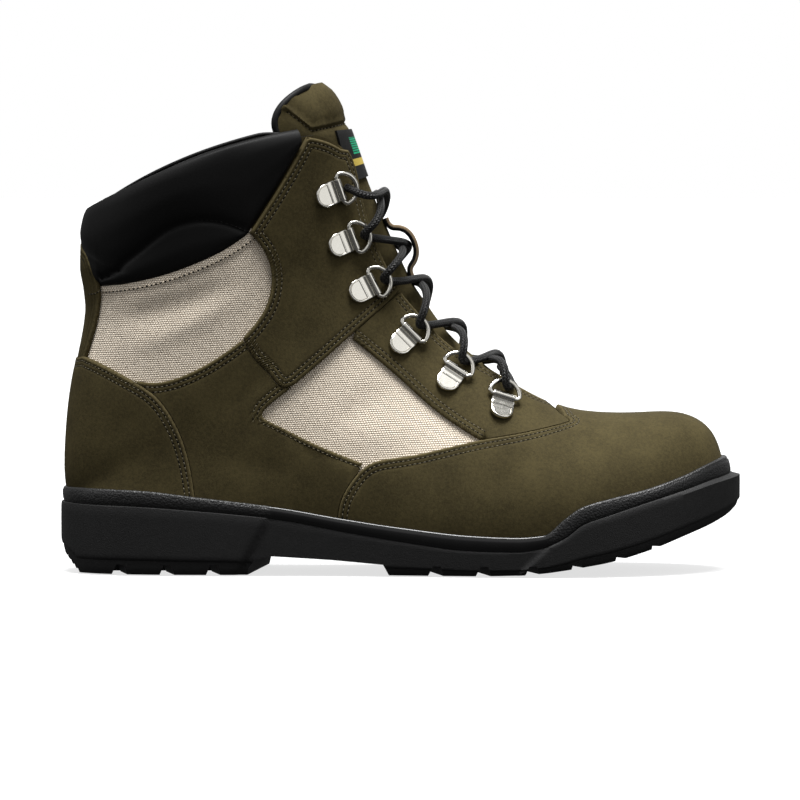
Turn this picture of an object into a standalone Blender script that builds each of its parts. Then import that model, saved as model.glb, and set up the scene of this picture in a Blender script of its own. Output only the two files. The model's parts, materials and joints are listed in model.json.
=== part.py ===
"""Field boot for the right foot: toe along +X, inner side of the foot along +Y, sole on z = 0.

The shell, the leather panels, the tongue and the collar all follow one last surface. Its sections run
from the bottom or back of the boot to the ridge of its top or front, and s counts them from the toe tip.
Around a section c goes from -1 (outer side, bottom) over 0 (ridge) to 1 (inner side, bottom).
Sizes are in millimetres and become metres when a mesh is made.
"""

import math
from collections import Counter, namedtuple

import bmesh
import bpy
import numpy as np
from mathutils import Matrix, Vector
from mathutils.geometry import delaunay_2d_cdt

MM = 0.001
GAP = 0.3
WELD = 0.25
SHARP_ANGLE = 40.0
FLAT_ANGLE = 1.0

SHELL_WALL = 2.2
PANEL_THICKNESS = 1.7
OVERLAP_STEP = 0.6
FEATHER_INSET = 6.6

INSOLE_THICKNESS = 4.0
INSOLE_INSET = 10.4
TONGUE_THICKNESS = 5.0
TONGUE_DEPTH = 5.0
TONGUE_CROWN = 3.5
LABEL_THICKNESS = 0.8

WAIST_STEP = 1.2
BED_WALL = 2.3
BED_INSET = 3.1
BED_CLEARANCE = 0.7
LUG_DEPTH = 4.3
LUG_INNER = 15.0
NOTCH_WIDTH = 6.4
NOTCH_TOP = 3.2
NOTCH_SKEW = 0.2
HALF_BREADTH = 50.0
CENTRE_REACH = 16.0
GROOVE_WIDTH = 5.0
GROOVE_FLOOR = 2.8
GROOVE_PLACE = 13.6
GROOVE_SPANS = ((-137.0, -66.0), (0.0, 122.0))
CUT_REACH = 62.0
CUT_BELOW = 6.0

WIRE_RADIUS = 0.95
RING_HALF_WIDTH = 6.0
RING_REACH = 7.0
RING_CORNER = 1.2
RING_TILT = 16.0
CLIP_WIDTH = 9.6
CLIP_LENGTH = 11.0
CLIP_THICKNESS = 1.3
CLIP_STRIP = 0.8
LACE_RADIUS = 2.2

PlanPoint = namedtuple("PlanPoint", "place x y")
SOLE_OUTLINE = (
    PlanPoint("heel back", -150.0, 0.0),
    PlanPoint("heel corner, outer", -139.0, -27.5),
    PlanPoint("heel, outer", -110.0, -40.0),
    PlanPoint("waist, outer", -45.0, -41.0),
    PlanPoint("behind ball, outer", 15.0, -48.5),
    PlanPoint("ball, outer", 60.0, -53.0),
    PlanPoint("toe, outer", 107.0, -44.6),
    PlanPoint("toe corner, outer", 137.5, -22.0),
    PlanPoint("toe tip", 150.0, 6.0),
    PlanPoint("toe corner, inner", 139.5, 32.0),
    PlanPoint("toe, inner", 112.0, 48.3),
    PlanPoint("ball, inner", 72.0, 53.0),
    PlanPoint("behind ball, inner", 22.0, 43.5),
    PlanPoint("waist, inner", -35.0, 36.0),
    PlanPoint("heel, inner", -105.0, 38.5),
    PlanPoint("heel corner, inner", -138.5, 27.0),
)

# Heights of the tread, of the ledge under the rand and of the rand's rim, and how far the ledge and the
# rim lie in from the outline.
SideRow = namedtuple("SideRow", "x tread ledge rim ledge_in rim_in")
SOLE_SIDE = (
    SideRow(-150.0, 8.6, 30.5, 36.9, 0.3, 1.0),
    SideRow(-141.5, 0.0, 30.2, 37.2, 0.3, 1.0),
    SideRow(-117.0, 0.0, 29.6, 36.7, 0.3, 1.0),
    SideRow(-87.0, 0.0, 27.6, 33.6, 0.3, 1.0),
    SideRow(-52.0, 0.0, 24.0, 29.2, 0.3, 1.0),
    SideRow(-26.0, 0.0, 19.2, 24.7, 0.3, 1.0),
    SideRow(0.0, 0.0, 14.9, 20.9, 0.3, 1.0),
    SideRow(30.0, 0.0, 11.2, 17.7, 0.3, 1.0),
    SideRow(50.0, 0.4, 10.8, 17.0, 0.3, 1.0),
    SideRow(62.0, 1.4, 12.7, 18.0, 0.3, 1.0),
    SideRow(71.0, 2.6, 16.6, 25.0, 0.3, 1.0),
    SideRow(79.0, 3.9, 22.4, 30.2, 0.3, 1.1),
    SideRow(90.0, 5.8, 26.2, 33.3, 0.4, 1.4),
    SideRow(107.0, 10.3, 31.5, 37.2, 0.5, 1.6),
    SideRow(126.0, 17.0, 37.0, 43.0, 0.8, 2.2),
    SideRow(138.0, 21.4, 40.4, 47.4, 1.4, 3.2),
    SideRow(146.0, 25.2, 42.0, 49.4, 2.4, 4.7),
    SideRow(150.0, 28.0, 42.8, 50.0, 3.2, 5.8),
)

# Places along the sole where its side is measured; a slanted step keeps its two places at a slope.
SideColumn = namedtuple("SideColumn", "x slope step")
SOLE_COLUMNS = (
    SideColumn(-150.0, 0.0, 0.0),
    SideColumn(-149.0, 0.0, 0.0),
    SideColumn(-146.0, 0.0, 0.0),
    SideColumn(-140.0, 0.0, 0.0),
    SideColumn(-131.0, 0.0, 0.0),
    SideColumn(-118.0, 0.0, 0.0),
    SideColumn(-98.0, 0.0, 0.0),
    SideColumn(-80.0, 0.0, 0.0),
    SideColumn(-59.0, 0.5, 0.0),
    SideColumn(-57.0, 0.5, 1.0),
    SideColumn(-40.0, 0.0, 1.0),
    SideColumn(-22.0, 0.0, 1.0),
    SideColumn(-4.0, 0.0, 1.0),
    SideColumn(14.0, 0.0, 1.0),
    SideColumn(32.0, 0.0, 1.0),
    SideColumn(48.0, 0.0, 1.0),
    SideColumn(64.0, 1.1, 1.0),
    SideColumn(66.0, 1.1, 0.0),
    SideColumn(74.0, 0.6, 0.0),
    SideColumn(83.0, 0.0, 0.0),
    SideColumn(96.0, 0.0, 0.0),
    SideColumn(110.0, 0.0, 0.0),
    SideColumn(123.0, 0.0, 0.0),
    SideColumn(132.0, 0.0, 0.0),
    SideColumn(139.0, 0.0, 0.0),
    SideColumn(144.0, 0.0, 0.0),
    SideColumn(147.4, 0.0, 0.0),
    SideColumn(149.3, 0.0, 0.0),
    SideColumn(150.0, 0.0, 0.0),
)

HEEL_NOTCHES = (-119.5, -99.5, -79.5)
FORE_NOTCHES = (16.0, 36.0, 56.7, 76.5, 96.3, 113.5)
CENTRE_NOTCHES = (-109.5, -89.5, 26.0, 46.5, 66.5, 86.5, 105.0)
# Profile of the arch between the heel's front face and the first lug of the forefoot.
ARCH_PROFILE = ((-66.0, -8.0), (-63.0, -2.0), (-62.0, 3.0), (-59.0, 7.0), (-52.0, 8.1), (-26.0, 6.6),
                (-3.0, 4.7), (0.4, -2.0), (3.0, -8.0))
ARCH_SKEW = 0.11

# Sections of the last. The bottom point is on the feather edge up to the heel end, and on the back of the
# boot above that. The width is half the full one, "at" is where it lies between bottom and top, and the
# two roundness values shape the section below and above it. Bow lifts the middle of a section.
Section = namedtuple("Section", "place bottom_x bottom_z top_x top_z top_y width at low high bow")
SECTIONS = (
    Section("toe tip", 143.6, 31.0, 141.0, 43.0, 7.6, 0.0, 0.3, 2.2, 2.0, 0.0),
    Section("toe wall", 140.6, 30.2, 138.8, 51.0, 7.2, 10.0, 0.22, 2.2, 2.0, 0.0),
    Section("toe turn", 133.5, 28.4, 134.3, 60.2, 6.2, 20.0, 0.18, 2.2, 2.1, 0.0),
    Section("toe cap", 121.0, 25.0, 122.5, 66.4, 4.5, 31.0, 0.18, 2.2, 2.3, 0.0),
    Section("toe box", 102.0, 20.5, 104.0, 66.5, 3.5, 41.0, 0.2, 2.2, 2.3, 0.0),
    Section("forefoot", 81.0, 16.5, 85.0, 66.9, 2.5, 46.7, 0.2, 2.2, 2.2, 0.0),
    Section("ball", 58.0, 13.7, 66.5, 71.2, 1.5, 46.8, 0.2, 2.2, 2.1, 0.0),
    Section("tread", 32.0, 13.7, 49.0, 82.7, 1.5, 43.6, 0.2, 2.2, 2.0, 0.0),
    Section("waist", 4.0, 17.2, 34.5, 94.0, 1.5, 38.6, 0.22, 2.2, 2.0, 0.0),
    Section("arch", -28.0, 21.6, 22.5, 104.6, 1.5, 35.2, 0.27, 2.2, 2.0, 0.0),
    Section("instep", -62.0, 26.0, 13.5, 116.5, 1.5, 34.2, 0.32, 2.2, 2.0, 0.0),
    Section("heel seat", -97.0, 29.6, 6.5, 127.0, 1.0, 33.8, 0.36, 2.2, 2.0, 0.0),
    Section("heel", -127.0, 31.9, 1.0, 138.0, 0.5, 34.0, 0.4, 2.2, 2.0, 0.0),
    Section("heel end", -143.6, 32.6, -3.0, 147.0, 0.0, 34.4, 0.43, 2.3, 2.0, 0.0),
    Section("counter", -145.6, 57.0, -7.0, 156.5, 0.0, 34.6, 0.45, 2.3, 2.0, 0.0),
    Section("counter top", -142.6, 84.0, -10.8, 165.5, 0.0, 34.8, 0.48, 2.3, 2.05, 0.0),
    Section("ankle", -137.6, 110.0, -14.3, 174.5, 0.0, 35.6, 0.5, 2.25, 2.1, 2.0),
    Section("shaft", -136.4, 135.0, -17.8, 184.5, 0.0, 37.2, 0.5, 2.2, 2.2, 4.5),
    Section("topline", -134.5, 156.0, -20.8, 193.0, 0.0, 38.6, 0.5, 2.2, 2.3, 7.0),
    Section("tongue neck", -132.0, 170.0, -24.6, 202.5, 0.0, 39.4, 0.5, 2.2, 2.3, 7.0),
    Section("tongue top", -129.0, 186.0, -33.0, 215.8, 0.0, 39.4, 0.5, 2.2, 2.3, 7.0),
)
HEEL_END = 13
TOPLINE = 18
GRID_ROWS = (0, 0.5, 1, 1.5, 2, 2.5, 3, 4, 5, 6, 7, 8, 9, 10, 11, 12, 12.5, 13, 14, 15, 16, 17, 18, 19, 20)
GRID_HALF = (0.0, 0.07, 0.15, 0.25, 0.37, 0.5, 0.66, 0.83, 1.0)

# Edges of the leather panels seen from the side, as x and z.
COUNTER_EDGE = ((-140.6, 95.0), (-131.6, 91.4), (-118.0, 84.6), (-107.0, 77.6), (-99.6, 68.0),
                (-93.5, 53.3), (-90.5, 39.0), (-89.0, 27.0))
STRIP_EDGE = ((-138.6, 94.8), (-136.3, 102.0), (-134.0, 111.0), (-132.6, 119.0), (-132.2, 125.0),
              (-133.0, 131.0), (-134.8, 137.5), (-136.2, 141.0))
VAMP_EDGE = ((-27.7, 18.0), (-26.4, 31.0), (-21.2, 41.0), (-14.3, 47.8), (-0.4, 51.2), (16.9, 54.7),
             (34.2, 58.6), (51.6, 61.4), (64.0, 63.8), (71.0, 65.3), (74.2, 66.6), (71.6, 68.2))
WINDOW_TOP = ((-131.5, 125.3), (-122.6, 126.2), (-104.9, 129.8), (-87.3, 136.0), (-73.5, 143.0),
              (-65.6, 148.6))
WINDOW_FRONT = ((-65.6, 148.6), (-59.0, 140.3), (-56.0, 130.5), (-56.8, 121.5), (-60.4, 113.0),
                (-68.6, 103.0))
WINDOW_FLOOR = ((-68.8, 102.0), (-76.4, 96.5), (-96.0, 86.0), (-109.0, 83.4), (-116.6, 84.4))
ANKLE_CORNER = ((-68.6, 103.0), (-63.3, 93.5), (-56.5, 86.5), (-51.2, 81.3), (-46.5, 82.6))
ANKLE_FLOOR = ((-46.5, 82.6), (-35.2, 92.2), (-17.8, 107.6), (-5.0, 118.8))
ANKLE_TOP = ((-26.0, 185.0), (-29.5, 187.0), (-34.0, 188.8), (-40.6, 190.2))
COLLAR_FRONT = ((-40.6, 190.2), (-50.4, 172.5), (-59.0, 158.6), (-65.6, 148.6))
EYESTAY_FLOOR = ((34.0, 59.4), (16.9, 70.5), (-0.4, 85.6), (-20.9, 102.6))
QUARTER_FRONT = ((-17.0, 48.6), (-39.4, 57.7), (-56.5, 66.2), (-60.4, 69.0), (-57.0, 74.0), (-49.8, 79.6))
TONGUE_TOP = ((-52.0, 189.0), (-54.6, 196.0), (-52.5, 202.5), (-48.5, 207.0), (-42.0, 211.6), (-34.6, 214.8))

# Half the width of the throat, and of the tongue below the collar, along the sections.
HalfWidth = namedtuple("HalfWidth", "s width")
THROAT = (
    HalfWidth(6.2, 6.0),
    HalfWidth(6.5, 9.5),
    HalfWidth(7.0, 12.0),
    HalfWidth(8.0, 13.6),
    HalfWidth(9.5, 14.4),
    HalfWidth(11.5, 14.6),
    HalfWidth(13.5, 15.0),
    HalfWidth(15.5, 15.8),
    HalfWidth(16.8, 17.0),
    HalfWidth(17.4, 20.5),
    HalfWidth(18.0, 29.0),
)
THROAT_END = 6.05
VAMP_END = 5.92
TONGUE_LOW = (
    HalfWidth(5.5, 10.0),
    HalfWidth(6.5, 20.0),
    HalfWidth(8.0, 23.0),
    HalfWidth(11.0, 24.0),
    HalfWidth(14.0, 25.5),
    HalfWidth(16.0, 29.5),
)

# D-rings from the top row down: where the clip's plate and the ring lie, seen from the side.
RingPlace = namedtuple("RingPlace", "plate_x plate_z ring_x ring_z")
RING_PLACES = (
    RingPlace(-33.5, 164.6, -24.0, 169.0),
    RingPlace(-26.6, 143.7, -18.8, 147.2),
    RingPlace(-17.6, 123.4, -9.8, 127.4),
    RingPlace(0.4, 101.0, 6.3, 106.6),
    RingPlace(20.8, 84.4, 25.6, 90.4),
    RingPlace(43.6, 72.2, 45.0, 78.6),
)

# Padding of the collar: height from its lower edge to the topline, and thickness on the outside.
PadRow = namedtuple("PadRow", "height thickness")
COLLAR_PAD = (
    PadRow(0.0, 0.8),
    PadRow(0.14, 2.0),
    PadRow(0.32, 2.6),
    PadRow(0.44, 2.0),
    PadRow(0.58, 4.2),
    PadRow(0.78, 5.4),
    PadRow(0.95, 5.0),
)
COLLAR_ROLL = 3.6
COLLAR_LINING = 4.0
COLLAR_LINING_DROP = 1.1
COLLAR_FRONT_HEIGHT = 0.3
COLLAR_PAD_AROUND = (0.3, 0.42, 0.58, 0.8, 1.0)
COLLAR_PAD_SHARE = (0.3, 0.35, 0.85, 1.0, 1.0)
STRIP_LIFT_S = (16.2, 16.55, 16.85, 17.3)
STRIP_LIFT = (0.0, 1.3, 2.9, 3.3)

LABEL_ROWS = (17.35, 18.2, 19.0)
LABEL_HALF = (0.13, 0.14, 0.13)

# Loop of the lace keeper around the second crossing: sections away from it, and height over the tongue.
KeeperRow = namedtuple("KeeperRow", "away rise")
KEEPER_LOOP = (
    KeeperRow(1.05, 1.3),
    KeeperRow(0.88, 3.6),
    KeeperRow(0.62, 9.6),
    KeeperRow(-0.62, 9.6),
    KeeperRow(-0.88, 3.6),
    KeeperRow(-1.05, 1.3),
)
KEEPER_ROW = 1
KEEPER_THICKNESS = 2.0
KEEPER_WIDTH = 8.0
LACE_SPREAD = 2.5
LACE_STEPS = 6
LACE_SIDES = 5
# Height of the upper and lower strand of each crossing over the tongue.
LACE_OVER = ((6.4, 3.1), (5.6, 3.0), (6.6, 3.2), (6.4, 3.1), (6.4, 3.1))
LACE_BAR_RISE = 6.0

BLACK_RUBBER = (0.012, 0.012, 0.013, 1.0)
RAND_RUBBER = (0.016, 0.016, 0.017, 1.0)
OLIVE_LEATHER = (0.085, 0.078, 0.045, 1.0)
BEIGE_CANVAS = (0.42, 0.35, 0.24, 1.0)
BLACK_LINING = (0.014, 0.014, 0.015, 1.0)
NICKEL = (0.62, 0.61, 0.58, 1.0)
LACE_BLACK = (0.012, 0.012, 0.012, 1.0)
FOOTBED = (0.05, 0.048, 0.045, 1.0)


def spline(knots, values):
    """Natural cubic spline through values at knots."""
    knots = np.asarray(knots, float)
    values = np.asarray(values, float)
    step = np.diff(knots)
    count = len(knots)
    system = np.eye(count)
    right = np.zeros(count)
    for i in range(1, count - 1):
        system[i, i - 1:i + 2] = step[i - 1], 2 * (step[i - 1] + step[i]), step[i]
        right[i] = 6 * ((values[i + 1] - values[i]) / step[i] - (values[i] - values[i - 1]) / step[i - 1])
    bend = np.linalg.solve(system, right)

    def at(place):
        place = np.clip(np.asarray(place, float), knots[0], knots[-1])
        i = np.clip(np.searchsorted(knots, place, side="right") - 1, 0, count - 2)
        ahead = knots[i + 1] - place
        behind = place - knots[i]
        cubic = (bend[i] * ahead**3 + bend[i + 1] * behind**3) / (6 * step[i])
        first = (values[i] / step[i] - bend[i] * step[i] / 6) * ahead
        second = (values[i + 1] / step[i] - bend[i + 1] * step[i] / 6) * behind
        return cubic + first + second

    return at


def steady_curve(knots, values):
    """Cubic curve through values at knots that never overshoots them."""
    knots = np.asarray(knots, float)
    values = np.asarray(values, float)
    step = np.diff(knots)
    slope = np.diff(values) / step
    product = slope[:-1] * slope[1:]
    total = slope[:-1] + slope[1:]
    tangent = np.concatenate([slope[:1], np.zeros(len(knots) - 2), slope[-1:]])
    rising = product > 0
    tangent[1:-1][rising] = 2 * product[rising] / total[rising]

    def at(place):
        place = np.clip(np.asarray(place, float), knots[0], knots[-1])
        i = np.clip(np.searchsorted(knots, place, side="right") - 1, 0, len(step) - 1)
        t = (place - knots[i]) / step[i]
        start = (1 + 2 * t) * (1 - t) ** 2 * values[i] + t * (1 - t) ** 2 * step[i] * tangent[i]
        end = t * t * (3 - 2 * t) * values[i + 1] + t * t * (t - 1) * step[i] * tangent[i + 1]
        return start + end

    return at


def closed_spline(points):
    """Smooth closed plan curve through points, as a function of t from 0 to 1."""
    points = np.asarray(points, float)
    wrap = 4
    ring = np.vstack([points[-wrap:], points, points[:wrap + 1]])
    length = np.concatenate([[0.0], np.cumsum(np.linalg.norm(np.diff(ring, axis=0), axis=1))])
    start = length[wrap]
    whole = length[wrap + len(points)] - start
    along_x = spline(length, ring[:, 0])
    along_y = spline(length, ring[:, 1])
    return lambda t: np.stack([along_x(start + t * whole), along_y(start + t * whole)], -1)


def smooth_run(points, steps):
    """Points of a smooth open curve through a panel's edge points, with steps between each two."""
    points = np.asarray(points, float)
    length = np.concatenate([[0.0], np.cumsum(np.linalg.norm(np.diff(points, axis=0), axis=1))])
    places = np.concatenate([np.linspace(a, b, steps, endpoint=False) for a, b in zip(length, length[1:])])
    places = np.append(places, length[-1])
    return np.stack([spline(length, points[:, 0])(places), spline(length, points[:, 1])(places)], -1)


def shift_run(points, distance):
    """Moves an edge sideways, to the left of its direction."""
    along = np.gradient(points, axis=0)
    along /= np.linalg.norm(along, axis=1, keepdims=True)
    return points + distance * np.stack([-along[:, 1], along[:, 0]], -1)


class SolePlan:
    """Outline of the sole, with its outer (-1) and inner (1) side as functions of x."""

    def __init__(self, outline, samples=1600):
        self.curve = closed_spline([(p.x, p.y) for p in outline])
        t = np.linspace(0.0, 1.0, samples + 1)
        x = self.curve(t)[:, 0]
        toe = int(np.argmax(x))
        self.sides = {-1: (np.maximum.accumulate(x[:toe + 1]), t[:toe + 1])}
        self.sides[1] = (np.maximum.accumulate(x[toe:][::-1]), t[toe:][::-1])
        self.feather = {side: self.inset(t_side, FEATHER_INSET) for side, (_, t_side) in self.sides.items()}

    def inset(self, t, distance):
        step = 0.0005
        along = self.curve(t + step) - self.curve(t - step)
        along /= np.linalg.norm(along, axis=-1, keepdims=True)
        outward = np.stack([along[..., 1], -along[..., 0]], -1)
        return self.curve(t) - outward * np.asarray(distance)[..., None]

    def point(self, x, side, distance):
        places, t = self.sides[side]
        return self.inset(np.interp(x, places, t), distance)

    def feather_y(self, x, side):
        edge = self.feather[side]
        return np.interp(x, np.maximum.accumulate(edge[:, 0]), edge[:, 1])


class Last:
    """The form inside the boot: a smooth surface from the section table, and its faceted grid."""

    def __init__(self, sections, plan):
        rows = np.arange(len(sections))
        names = Section._fields[1:]
        self.column = {name: spline(rows, [getattr(row, name) for row in sections]) for name in names}
        foot = sections[:HEEL_END + 1][::-1]
        self.bed = steady_curve([row.bottom_x for row in foot], [row.bottom_z for row in foot])
        self.plan = plan
        self.rows = np.array(GRID_ROWS, float)
        half = np.array(GRID_HALF)
        self.around = np.concatenate([-half[::-1], half[1:]])
        self.points = self.surface(self.rows[:, None], self.around[None, :])
        self.normals = self.normal(self.rows[:, None], self.around[None, :])
        closed = self.rows >= HEEL_END
        seam = self.normals[closed][:, [0, -1]].mean(axis=1, keepdims=True)
        self.normals[np.ix_(closed, [0, -1])] = seam
        self.normals[0] = self.normals[0, 1:-1].mean(axis=0) * np.array([1.0, 0.0, 1.0])
        self.normals[np.ix_(self.rows <= HEEL_END, [0, -1], [2])] = 0.0
        self.normals /= np.linalg.norm(self.normals, axis=-1, keepdims=True)

    def surface(self, s, c):
        s, c = np.broadcast_arrays(np.asarray(s, float), np.asarray(c, float))
        col = {name: curve(s) for name, curve in self.column.items()}
        on_foot = s < HEEL_END
        outer = self.plan.feather_y(col["bottom_x"], -1)
        inner = self.plan.feather_y(col["bottom_x"], 1)
        bottom_z = np.where(on_foot, self.bed(col["bottom_x"]), col["bottom_z"])
        feather = np.where(on_foot, (inner - outer) / 2, 0.0)
        middle = np.where(on_foot, (inner + outer) / 2, 0.0)
        wide = np.maximum(col["width"], feather + 0.2 * np.minimum(s, 1.0))
        level = 1 - 2 * np.abs(c)
        low = level < 0
        power = 2 / np.where(low, col["low"], col["high"])
        share = np.clip(feather / np.maximum(wide, 1e-6), 0.0, 1.0)
        foot = np.maximum(np.arccos(share ** (1 / power)), 0.02)
        angle = np.abs(level) * np.where(low, foot, math.pi / 2)
        rise = np.sin(angle) ** power
        full = np.where(low, np.sin(foot) ** power, 1.0)
        half = wide * np.clip(np.cos(angle), 0.0, None) ** power
        part = np.where(low, col["at"] * (1 - rise / full), col["at"] + (1 - col["at"]) * rise)
        run = col["top_x"] - col["bottom_x"]
        climb = col["top_z"] - bottom_z
        length = np.maximum(np.hypot(run, climb), 1e-6)
        lift = col["bow"] * 4 * part * (1 - part) / length
        x = col["bottom_x"] + run * part - climb * lift
        y = middle * (1 - part) + col["top_y"] * part + np.sign(c) * half
        z = bottom_z + climb * part + run * lift
        return np.stack([x, y, z], -1)

    def normal(self, s, c):
        s, c = np.broadcast_arrays(np.asarray(s, float), np.asarray(c, float))
        ds, dc = 0.02, 0.004
        end = self.rows[-1]
        before = np.where(s >= HEEL_END, np.maximum(s - ds, HEEL_END), np.maximum(s - ds, 0.0))
        along = self.surface(np.minimum(s + ds, end), c) - self.surface(before, c)
        across = self.surface(s, np.clip(c + dc, -1, 1)) - self.surface(s, np.clip(c - dc, -1, 1))
        out = np.cross(across, along)
        size = np.linalg.norm(out, axis=-1, keepdims=True)
        return np.where(size > 1e-9, out / np.maximum(size, 1e-9), np.array([1.0, 0.0, 0.0]))

    def facet(self, s, c, d=0.0):
        """Point on the faceted grid, d out along the normal."""
        s, c = np.broadcast_arrays(np.asarray(s, float), np.asarray(c, float))
        i = np.clip(np.searchsorted(self.rows, s, side="right") - 1, 0, len(self.rows) - 2)
        j = np.clip(np.searchsorted(self.around, c, side="right") - 1, 0, len(self.around) - 2)
        a = ((s - self.rows[i]) / (self.rows[i + 1] - self.rows[i]))[..., None]
        b = ((c - self.around[j]) / (self.around[j + 1] - self.around[j]))[..., None]
        mixed = []
        for grid in (self.points, self.normals):
            near, far, ahead, beside = grid[i, j], grid[i + 1, j + 1], grid[i + 1, j], grid[i, j + 1]
            below = near + a * (ahead - near) + b * (far - ahead)
            above = near + b * (beside - near) + a * (far - beside)
            outer = np.where(a >= b, below, above)
            start = near + a * (ahead - near) + b * (beside - near)
            end = far + (1 - a) * (beside - far) + (1 - b) * (ahead - far)
            inner = np.where(a + b <= 1, start, end)
            mixed.append(np.where(c[..., None] < 0, outer, inner))
        return mixed[0] + mixed[1] * np.asarray(d, float)[..., None]

    def locate(self, x, z):
        """Place (s, c) on the outer side of the point seen at x and z from the side."""
        s = np.linspace(0.0, self.rows[-1], 401)[:, None]
        c = np.linspace(-1.0, 0.0, 161)[None, :]
        seen = self.surface(s, c)
        miss = (seen[..., 0] - x) ** 2 + (seen[..., 2] - z) ** 2
        i, j = np.unravel_index(np.argmin(miss), miss.shape)
        place = np.array([s[i, 0], c[0, j]])
        for step in (0.08, 0.02, 0.005, 0.00125, 0.0003):
            trial_s = np.clip(place[0] + np.linspace(-2, 2, 17)[:, None] * step, 0.0, self.rows[-1])
            trial_c = np.clip(place[1] + np.linspace(-0.3, 0.3, 17)[None, :] * step, -1.0, 0.0)
            seen = self.facet(trial_s, trial_c, PANEL_THICKNESS)
            miss = (seen[..., 0] - x) ** 2 + (seen[..., 2] - z) ** 2
            i, j = np.unravel_index(np.argmin(miss), miss.shape)
            place = np.array([trial_s[i, 0], trial_c[0, j]])
        return place

    def at_width(self, s, width):
        """Place on the outer side, above the widest part, that is a width away from the ridge's plane."""
        s = np.asarray(s, float)
        share = np.clip(np.asarray(width) / self.column["width"](s), 0.0, 1.0)
        level = np.arccos(share ** (self.column["high"](s) / 2)) * 2 / math.pi
        return np.stack([s, -(1 - level) / 2], -1)

    def trace(self, run):
        """Places on the last of an edge seen from the side, drawn to grid lines that are very near."""
        places = np.array([self.locate(x, z) for x, z in run])
        for axis, lines, near in ((0, self.rows, 0.02), (1, self.around, 0.005)):
            nearest = lines[np.argmin(np.abs(places[:, axis, None] - lines), axis=1)]
            snap = np.abs(places[:, axis] - nearest) < near
            places[snap, axis] = nearest[snap]
        return places


def mirrored(places):
    return (places * np.array([1.0, -1.0]))[::-1]


def inside(polygon, points):
    x, y = points[:, 0], points[:, 1]
    result = np.zeros(len(points), bool)
    for (x0, y0), (x1, y1) in zip(polygon, np.roll(polygon, -1, axis=0)):
        crosses = (y0 > y) != (y1 > y)
        if y0 != y1:
            result ^= crosses & (x < (x1 - x0) * (y - y0) / (y1 - y0) + x0)
    return result


def region_triangles(last, polygon):
    """Triangles of a region of the last that follow the facets of its grid."""
    spread = np.array([1.0, 10.0])
    low, high = polygon.min(axis=0), polygon.max(axis=0)
    span = []
    for lines, a, b in ((last.rows, low[0], high[0]), (last.around, low[1], high[1])):
        first = max(np.searchsorted(lines, a, side="right") - 1, 0)
        final = min(np.searchsorted(lines, b, side="left"), len(lines) - 1)
        span.append(range(first, final + 1))
    number = {}
    flat = []
    for i in span[0]:
        for j in span[1]:
            number[i, j] = len(flat)
            flat.append((last.rows[i], last.around[j]))
    edges = []
    for i, j in number:
        slanted = (i + 1, j + 1) if last.around[j] < 0 else (i + 1, j)
        corner = (i, j) if last.around[j] < 0 else (i, j + 1)
        for a, b in (((i, j), (i + 1, j)), ((i, j), (i, j + 1)), (corner, slanted)):
            if a in number and b in number:
                edges.append((number[a], number[b]))
    start = len(flat)
    flat.extend(map(tuple, polygon))
    edges.extend((start + k, start + (k + 1) % len(polygon)) for k in range(len(polygon)))
    flat = [Vector(np.array(p) * spread) for p in flat]
    result = delaunay_2d_cdt(flat, edges, [], 0, 1e-5)
    places = np.array([tuple(v) for v in result[0]]) / spread
    faces = np.array(result[2])
    centre = places[faces].mean(axis=1)
    return places, faces[inside(polygon, centre)]


def make_object(name, points, faces, material, sharp=SHARP_ANGLE):
    mesh = bpy.data.meshes.new(name)
    mesh.from_pydata([tuple(np.asarray(p, float) * MM) for p in points], [], [tuple(f) for f in faces])
    work = bmesh.new()
    work.from_mesh(mesh)
    bmesh.ops.recalc_face_normals(work, faces=work.faces)
    work.to_mesh(mesh)
    work.free()
    finish_mesh(mesh, sharp)
    if material:
        mesh.materials.append(material)
    piece = bpy.data.objects.new(name, mesh)
    bpy.context.scene.collection.objects.link(piece)
    return piece


def finish_mesh(mesh, sharp):
    mesh.polygons.foreach_set("use_smooth", [True] * len(mesh.polygons))
    mesh.set_sharp_from_angle(angle=math.radians(sharp))
    mesh.update()


def bake(piece, sharp=SHARP_ANGLE):
    """Turns a piece with modifiers into plain mesh."""
    graph = bpy.context.evaluated_depsgraph_get()
    mesh = bpy.data.meshes.new_from_object(piece.evaluated_get(graph))
    piece.modifiers.clear()
    piece.data = mesh
    finish_mesh(mesh, sharp)
    return piece


def boolean(piece, operation, other, own=False):
    cut = piece.modifiers.new(operation.lower(), "BOOLEAN")
    cut.operation = operation
    cut.solver = "EXACT"
    cut.object = other
    cut.use_self = own
    bake(piece)
    bpy.data.objects.remove(other)
    return piece


def join_flat(piece, angle):
    """Joins neighbouring faces that lie nearly in one plane."""
    work = bmesh.new()
    work.from_mesh(piece.data)
    bmesh.ops.dissolve_limit(work, angle_limit=math.radians(angle), verts=work.verts, edges=work.edges)
    bmesh.ops.triangulate(work, faces=work.faces)
    work.to_mesh(piece.data)
    work.free()
    finish_mesh(piece.data, SHARP_ANGLE)
    return piece


def weld_map(points, distance):
    """For each point, the number of the point that stands for it."""
    work = bmesh.new()
    for p in points:
        work.verts.new(p)
    work.verts.ensure_lookup_table()
    work.verts.index_update()
    found = bmesh.ops.find_doubles(work, verts=work.verts, dist=distance)["targetmap"]
    result = np.arange(len(points))
    for vert, target in found.items():
        result[vert.index] = target.index
    work.free()
    return result


def without_folds(faces):
    """Triangles left when those without area and those that lie on each other are taken out."""
    corners = [frozenset(int(v) for v in face) for face in faces]
    count = Counter(corners)
    return [face for face, kind in zip(faces, corners) if len(kind) == 3 and count[kind] == 1]


def compact(points, faces):
    """Points that faces use, and the faces with their new numbers."""
    used = sorted({int(v) for face in faces for v in face})
    number = {v: i for i, v in enumerate(used)}
    return np.asarray(points)[used], [[number[int(v)] for v in face] for face in faces]


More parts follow.
